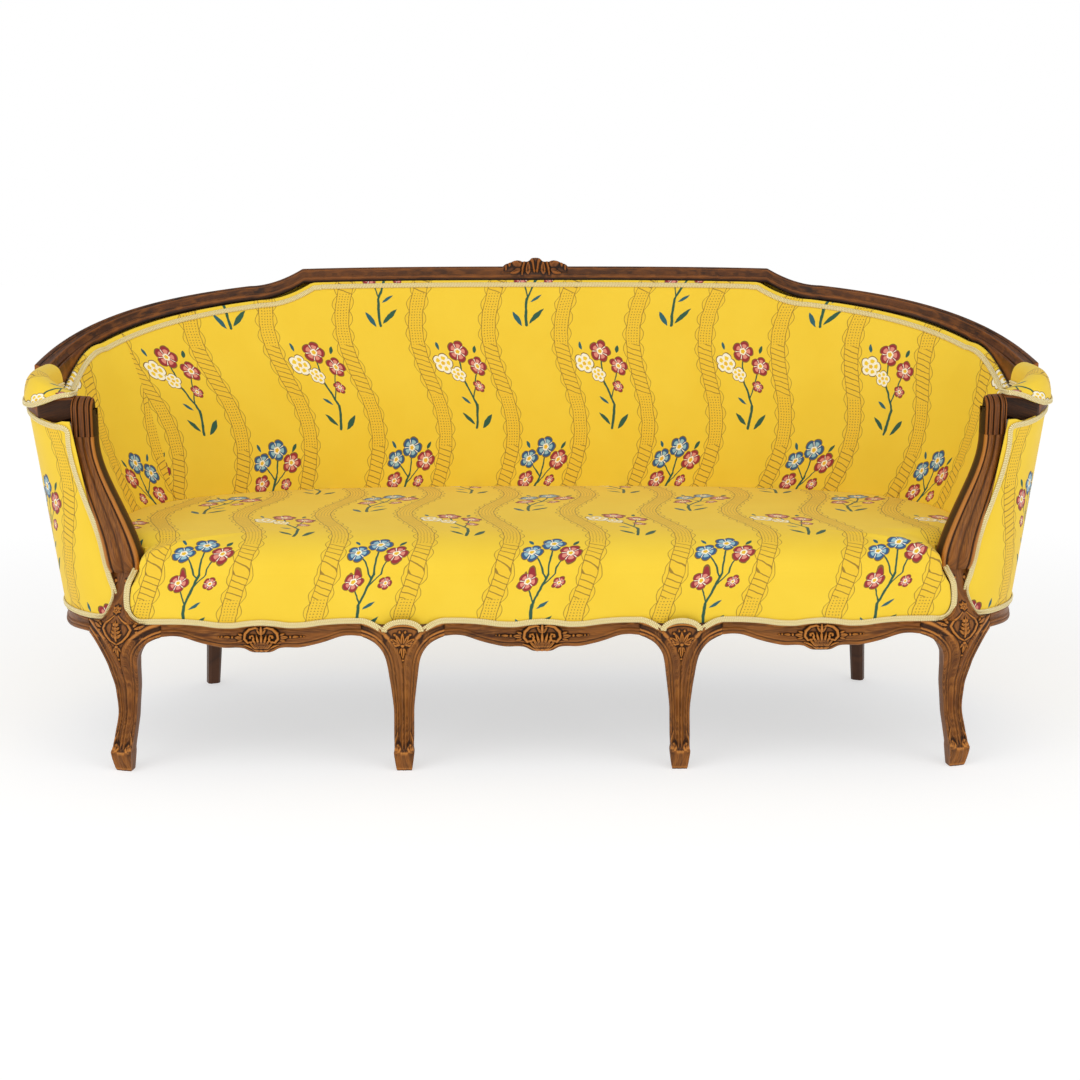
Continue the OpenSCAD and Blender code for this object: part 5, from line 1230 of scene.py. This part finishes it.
def arm_pads():
    """A roll of cloth with the cross-section PAD, small pulls at its edges and tucks at its end."""
    s = np.concatenate([np.linspace(0, 0.8, 50)[:-1], 0.8 + 0.2 * np.sin(np.linspace(0, 1, 26) * math.pi / 2)])
    c, o, half = pad_frame(s)
    h = (rail_z(PAD_T) - arm_top(PAD_T)) * table(s, PAD_HEIGHT) - GAP
    pts = np.array(PAD)
    d = np.concatenate([[0], np.cumsum(np.hypot(*np.diff(pts, axis=0).T))])
    at = np.linspace(0, d[-1], 44)
    px, pz = np.interp(at, d, pts[:, 0]), np.interp(at, d, pts[:, 1])
    for _ in range(3):
        px[1:-1] = (px[:-2] + 2 * px[1:-1] + px[2:]) / 4
        pz[1:-1] = (pz[:-2] + 2 * pz[1:-1] + pz[2:]) / 4
    f = s[:, None]
    pull = (0.9 * np.sin(f * 37 + px * 5) * np.exp(-pz / 0.22)
            + 0.6 * np.sin(px * 22 + f * 9) * ease((f - 0.82) / 0.1) * (pz < 0.8))
    x = px * 2 * half[:, None] + 3.0 * ease((f - 0.3) / 0.3) * (1 - ease((f - 0.7) / 0.3)) * (px > 0.2)
    z = GAP + pz * h[:, None] - pad_drop(f, px) * (1 - pz) ** 0.8
    rings = c[:, None] + (x - pull * np.sign(px))[..., None] * o[:, None] + np.stack([0 * z, 0 * z, z], -1)
    along = np.concatenate([[0], np.cumsum(np.linalg.norm(np.diff(c, axis=0), axis=-1))])
    uv = np.stack([along[:, None] + 0 * x + 310, at[None, :] * 52 + 0 * x + 120], -1) * MM
    for p in Piece().skin(rings, wrap_uv(uv)).pair("arm_pad", COTTON, "print_fabric"):
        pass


# ---------------------------------------------------------------- braid
def braid_skin(piece, line, out, width=GIMP_W):
    """Flat braid: two ribbed cords side by side along a line, with out pointing away from what it lies on."""
    rows = np.concatenate([line, out], 1)
    rows, at = along_line(rows, 0.85)
    p, o = rows[:, :3], rows[:, 3:]
    smooth(o, 3)
    t = np.gradient(p, axis=0)
    t /= np.linalg.norm(t, axis=-1, keepdims=True)
    side = np.cross(t, o)
    side /= np.linalg.norm(side, axis=-1, keepdims=True)
    up = np.cross(side, t)
    x = np.array([-0.5, -0.43, -0.27, -0.12, 0.0, 0.12, 0.27, 0.43, 0.5, 0.3, -0.3])
    base = np.array([0.3, 1.5, 2.5, 1.6, 0.9, 1.6, 2.5, 1.5, 0.3, -0.2, -0.2])
    lean = np.array([-3, -2.2, 0, 1.2, 0, -1.2, 0, 2.2, 3, 0, 0])
    rib = 0.5 + 0.5 * np.cos(2 * math.pi * (at[:, None] + lean) / 3.4)
    amount = np.array([0.3, 0.7, 0.9, 0.5, 0.2, 0.5, 0.9, 0.7, 0.3, 0, 0])
    h = base * GIMP_T / 3.2 + rib * amount * 0.9
    edge = 1 + 0.08 * rib * np.array([1, 1, 0, 0, 0, 0, 0, 1, 1, 0, 0])
    rings = p[:, None] + (x * width * edge)[..., None] * side[:, None] + h[..., None] * up[:, None]
    uv = np.stack([at[:, None] + 0 * h, x * width + 0 * h], -1) * MM
    # tone follows the ribs, high on their crests and low in the grooves and under the braid; it carries painted shade
    # and highlight
    return piece.skin(rings, wrap_uv(uv), rib * 2 * (amount > 0) - 1)


def seat_braid():
    """Runs of braid: over the centre, round the lobe of each middle leg, over each bay and up each post."""
    gimp = Piece()
    raised = GIMP_W / 2 - 2.0

    def before(u, leg):
        """How far forward the braid lies, with the knees of the legs."""
        q = unit(np.abs(u - leg) / KNEE_REACH)
        return -4.2 - 7.0 * (1 - q * q)

    def run(line, mirror=True):
        out = np.zeros_like(line)
        out[:, 1] = -1
        braid_skin(gimp, line, out)
        if mirror:
            braid_skin(gimp, (line * [-1, 1, 1])[::-1].copy(), out[::-1].copy())

    us = np.linspace(-LEG_GAP / 2 + CUSP - 1, LEG_GAP / 2 - CUSP + 1, 420)
    run(frame_at(us, before(np.abs(us), LEG_GAP / 2), edge_high(us) + raised), False)
    a = np.linspace(-88, 88, 120) * deg
    lobe_u, lobe_z = LEG_GAP / 2 + (CUSP - 1) * np.sin(a), RAIL_H - 21 + 20 * np.cos(a) + raised + 0.5
    run(frame_at(lobe_u, before(lobe_u, LEG_GAP / 2) - 2.5, lobe_z))
    us = np.linspace(LEG_GAP / 2 + CUSP - 1, CORNER_U - 56, 420)
    bay = frame_at(us, np.minimum(before(us, LEG_GAP / 2), -4.2), edge_high(us) + raised)
    post = np.array([(-56, 292), (-48, 291.4), (-41, 292.2), (-34, 295), (-28, 300), (-23.5, 307), (-20.6, 316),
                     (-19.4, 327), (-19.6, 340), (-21, 353), (-23.5, 366), (-26.5, 378), (-30, 390)], float)
    g = np.linspace(0, 1, 90)
    f = np.linspace(0, 1, len(post))
    pu, pz = table(g, np.stack([f, post[:, 0]], -1)), table(g, np.stack([f, post[:, 1]], -1))
    up = frame_at(CORNER_U + pu, -4.2 - 3.0 * ease(g * 2) + 26 * ease((g - 0.8) / 0.2), pz + raised)
    line = np.concatenate([bay[:-1], up])
    smooth(line, 12, 400)
    run(line)
    gimp.build("gimp_seat", BRAID, "gimp", ["gimp_seat"])


def wall_face(t, z, extra):
    """Point on the stuffed inner face and the direction out of it, into the room."""
    p = wall_place(t, z, face_sets(t, z, extra))
    a = wall_place(t + 0.2, z, face_sets(t + 0.2, z, extra))
    b = wall_place(t, z + 2, face_sets(t, z + 2, extra))
    n = np.cross(b - p, a - p)
    return p, n / np.linalg.norm(n, axis=-1, keepdims=True)


def braids():
    """Braid under the top rail inside, round each outer arm panel and round the foot of each arm pad."""
    t = wall_turns(90, -FRONT_TURN + 5, 4.0)
    z = top_of(t) - GIMP_W * 0.62
    p, n = wall_face(np.minimum(t, 89.7), z, 0.6)
    inward = wall_place(np.minimum(t, 89.7), z, face_sets(t, z, 8.0)) - p
    n = n * np.sign((n * inward).sum(-1))[:, None]
    line = np.concatenate([(p * [-1, 1, 1])[::-1][:-1], p])
    outs = np.concatenate([(n * [-1, 1, 1])[::-1][:-1], n])
    braid_skin(Piece(), line, outs).build("gimp_back", BRAID, "gimp", ["gimp_back"])

    ts = wall_turns(REAR_LEG_T, -FRONT_TURN + 3, 4.0)
    low = RAIL_H + GIMP_W * 0.55
    zf = np.linspace(RAIL_H + 16, float(top_of(np.array(-FRONT_TURN))) - 16, 160)
    tf = np.interp(wall_s(panel_turn(zf)) - 2.4, WALL_S, WALL_T)
    smooth(tf, 10)
    f = np.linspace(0, 1, 14)[1:-1]
    t0, t3 = ts[-1], tf[0]
    bend_t = (1 - f) ** 2 * t0 + 2 * f * (1 - f) * t3 + f ** 2 * t3
    bend_z = (1 - f) ** 2 * low + 2 * f * (1 - f) * low + f ** 2 * zf[0]
    top = float(top_of(np.array(-FRONT_TURN))) - GIMP_W * 0.6
    bend2_t = (1 - f) ** 2 * tf[-1] + 2 * f * (1 - f) * tf[-1] + f ** 2 * ts[-1]
    bend2_z = (1 - f) ** 2 * zf[-1] + 2 * f * (1 - f) * top + f ** 2 * float(top_of(ts[-1:])[0] - GIMP_W * 0.6)
    tt = np.concatenate([ts, bend_t, tf, bend2_t, ts[::-1]])
    zz = np.concatenate([0 * ts + low, bend_z, zf, bend2_z, top_of(ts[::-1]) - GIMP_W * 0.6])
    line = wall_place(tt, zz, (-0.8, -0.8, -0.8))
    smooth(line, 8, len(ts) - 4, len(line) - len(ts))
    ox, oy = facing(tt, zz)
    out = np.stack([ox, oy, -0.14 + 0 * ox], -1)
    braid_skin(Piece(), line, out).pair("gimp_outer_arm", BRAID, "gimp")

    s = np.linspace(0, 0.995, 110)
    c, o, half = pad_frame(s)
    z = np.array([0, 0, 1.0])
    low = GAP + 5.0
    swell = 3.0 * ease((s - 0.3) / 0.3) * (1 - ease((s - 0.7) / 0.3))
    outer = c + o * (half + 2.0 + swell)[:, None] + z * (low - pad_drop(s, 0.5))[:, None]
    inner = c - o * (half + 1.6)[:, None] + z * (low - pad_drop(s, -0.5))[:, None]
    a = np.linspace(-1, 1, 17)[1:-1, None] * math.pi / 2
    front = np.array([[o[-1, 1], -o[-1, 0], 0]])
    k = (np.sin(a) + 1) / 2
    arc = outer[-1:] * (1 - k) + inner[-1:] * k + np.cos(a) * front * 4
    line = np.concatenate([outer, arc, inner[::-1]])
    smooth(line, 4, 60, len(line) - 60)
    outs = np.concatenate([o, -np.sin(a) * o[-1:] + np.cos(a) * front, -o[::-1]])
    braid_skin(Piece(), line, outs, 9.0).pair("gimp_arm_pad", BRAID, "gimp")


def braid_material():
    s = Shader("braid", Roughness=0.82, Sheen_Weight=0.25)
    tone = s.attribute("tone")
    here = s.place()
    fine = s.noise(here, 900.0, 1.0)
    # painted shade and highlight: the grooves between the ribs darkened to deep ochre, the crests painted pale cream
    base = s.mix(tone.over(-0.1, 0.6), rgb(176, 146, 66), rgb(250, 238, 186))
    s.set(Base_Color=s.mix(fine.over(0.55, 0.2) * 0.3, base, rgb(236, 214, 140)))
    s.set(Normal=s.bump(fine, 0.3, 0.0004))
    return s.material


BRAID = braid_material()


# ---------------------------------------------------------------- what the covers hide
def weave_material(name, light, dark, pitch):
    """Plain weave: the product of two sines, one thread's pitch each way."""
    s = Shader(name, Roughness=0.85)
    x, y, z = s.parts(s.place())
    warp = (x * (2 * math.pi / pitch)).fn("SINE")
    weft = (y * (2 * math.pi / pitch) + z * (2 * math.pi / pitch)).fn("SINE")
    thread = warp * weft * 0.5 + 0.5
    cloud = s.noise(s.place(), 60.0, 3.0)
    s.set(Base_Color=s.mix(thread * 0.6 + cloud.over(0.5, 0.3) * 0.4, dark, light))
    s.set(Normal=s.bump(thread, 0.5, pitch * 0.3))
    return s.material


def hidden_pieces():
    """Webbing, hessian and stuffing under the covers, the dark cloth below, and the materials of the plain woodwork;
    the rear legs' walnut is darkened as painted shade.
    """
    jute = weave_material("jute", rgb(196, 168, 118), rgb(120, 92, 52), 0.0024)
    hair = Shader("wadding", Roughness=0.95)
    fluff = hair.noise(hair.place(), 240.0, 5.0)
    hair.set(Base_Color=hair.mix(fluff, rgb(206, 196, 168), rgb(244, 238, 220)), Normal=hair.bump(fluff, 0.6, 0.002))
    black = weave_material("black_cloth", rgb(58, 55, 52), rgb(26, 24, 23), 0.0016)
    steel = Shader("screw_steel", Base_Color=rgb(150, 150, 152), Metallic=1.0)
    steel.set(Roughness=steel.noise(steel.place(), 700.0) * 0.25 + 0.25)

    def filling(name, piece):
        piece.build(name, hair.material, "wadding", [name])

    rings, uv = wall_skin(wall_turns(180 + FRONT_TURN, -FRONT_TURN, 14.0), lambda t, z: face_sets(t, z, -3.4),
                          lambda t, z: face_sets(t, z, -22.0), lambda t: 0 * t + WALL_LOW + 2,
                          lambda t: top_of(t) - 3, np.linspace(0, 1, 24))
    filling("back_stuffing", Piece().skin(rings, uv))
    rings = seat_rings()[0]
    middle = np.array([0, (FRONT_Y + BACK_Y) / 2, 0])
    rings = middle + (rings - middle) * [0.985, 0.97, 1] - [0, 0, 4.0]
    rings[..., 2] = np.maximum(rings[..., 2], 350)
    filling("seat_stuffing", Piece().skin(rings[:, ::2]))

    # the dust cover: the frame's plan a little smaller, 1.2 mm thick, just under the rails
    t = np.concatenate([np.linspace(-90, 0, 80)[:-1], 90 * even(np.linspace(0, 1, 160))])
    edge = np.stack(plan(t, RAIL_H, (17, 17, 48)), -1)
    edge = np.concatenate([edge, (edge * [-1, 1])[::-1][1:-1]])
    rings = [np.concatenate([edge * r, np.full((len(edge), 1), RAIL_LOW_H - 1.5 + up)], -1)
             for r, up in [(0.02, 0), (0.5, 0), (1, 0), (1, 1.2), (0.5, 1.2), (0.02, 1.2)]]
    dust = Piece().skin(np.stack(rings)).build("dust_cover", black, "black_cloth", ["dust_cover"])

    # the rear legs get SHADE, walnut darkened as painted shade
    part_materials = {SHADE: ["rear_leg_left", "rear_leg_right"], steel.material: ["corner_block_screws"],
                jute: ["seat_webbing_cross", "seat_webbing_long", "seat_hessian", "back_webbing", "back_hessian"],
                BEECH: ["corner_blocks", "back_tacking_rail"]
                + [stem + side for stem in ("seat_stretcher_", "back_post_", "inner_post_", "side_tacking_rail_",
                                            "arm_tacking_rail_") for side in ("left", "right")]}
    for material, names in part_materials.items():
        for name in names:
            node = frame["nodes"][name]
            node = node if hasattr(node, "material_slots") else bpy.data.objects[name]
            node.material_slots[0].material = material


# ---------------------------------------------------------------- camera, floor and light
def studio():
    """The camera at the photograph's angle, white all round it, three soft lamps and a pale floor that goes white
    with distance."""
    camera = bpy.data.objects.new("camera", bpy.data.cameras.new("camera"))
    camera.data.lens, camera.data.sensor_width = 61.67, 36.0
    camera.location = (-0.07, -3.8025, 1.148)
    camera.rotation_euler = Euler(((90 - 11.5) * deg, 0, -1.1 * deg))
    bpy.context.scene.collection.objects.link(camera)
    bpy.context.scene.camera = camera
    bpy.context.scene.view_settings.view_transform = "Standard"

    world = bpy.data.worlds.new("studio")
    bpy.context.scene.world = world
    world.use_nodes = True
    tree = world.node_tree
    tree.nodes.clear()
    out = tree.nodes.new("ShaderNodeOutputWorld")
    mixer, path = tree.nodes.new("ShaderNodeMixShader"), tree.nodes.new("ShaderNodeLightPath")
    soft, white = tree.nodes.new("ShaderNodeBackground"), tree.nodes.new("ShaderNodeBackground")
    soft.inputs[0].default_value, soft.inputs[1].default_value = (1, 1, 1, 1), 0.57
    white.inputs[0].default_value, white.inputs[1].default_value = (1, 1, 1, 1), 1.0
    tree.links.new(path.outputs["Is Camera Ray"], mixer.inputs[0])
    tree.links.new(soft.outputs[0], mixer.inputs[1])
    tree.links.new(white.outputs[0], mixer.inputs[2])
    tree.links.new(mixer.outputs[0], out.inputs[0])

    def lamp(name, place, turn, size, power):
        """A soft lamp: its place in metres, its turn in degrees, its width and height, its watts."""
        light = bpy.data.lights.new(name, "AREA")
        light.shape, light.size, light.size_y, light.energy = "RECTANGLE", size[0], size[1], power
        lamp = bpy.data.objects.new(name, light)
        lamp.location, lamp.rotation_euler = place, Euler([a * deg for a in turn])
        bpy.context.scene.collection.objects.link(lamp)

    lamp("key", (-0.5, -1.7, 3.4), (30, -6, 0), (4.6, 2.8), 33)
    lamp("fill", (3.0, -3.0, 1.6), (68, 0, 45), (2.6, 2.0), 30)
    lamp("front", (-2.9, -3.3, 1.4), (74, 0, -42), (3.0, 1.6), 34)

    me = bpy.data.meshes.new("floor")
    g = 14.0
    me.from_pydata([(-g, -g, 0), (g, -g, 0), (g, g, 0), (-g, g, 0)], [], [(0, 1, 2, 3)])
    floor = bpy.data.objects.new("floor", me)
    s = Shader("floor", Roughness=0.95, Specular_IOR_Level=0.1, Emission_Strength=1.0)
    x, y, _ = s.parts(s.place())
    far = ((x * x * 0.5 + y * y) ** 0.5).over(1.7, 0.9)
    s.set(Base_Color=s.mix(far, (0.56,) * 3, (0.0,) * 3), Emission_Color=s.mix(far, (0.54,) * 3, (1.0,) * 3))
    me.materials.append(s.material)
    bpy.context.scene.collection.objects.link(floor)


studio()
front_legs()
seat_rails()
top_rails()
arm_pieces()
covers()
seat_cover()
arm_pads()
seat_braid()
braids()
hidden_pieces()
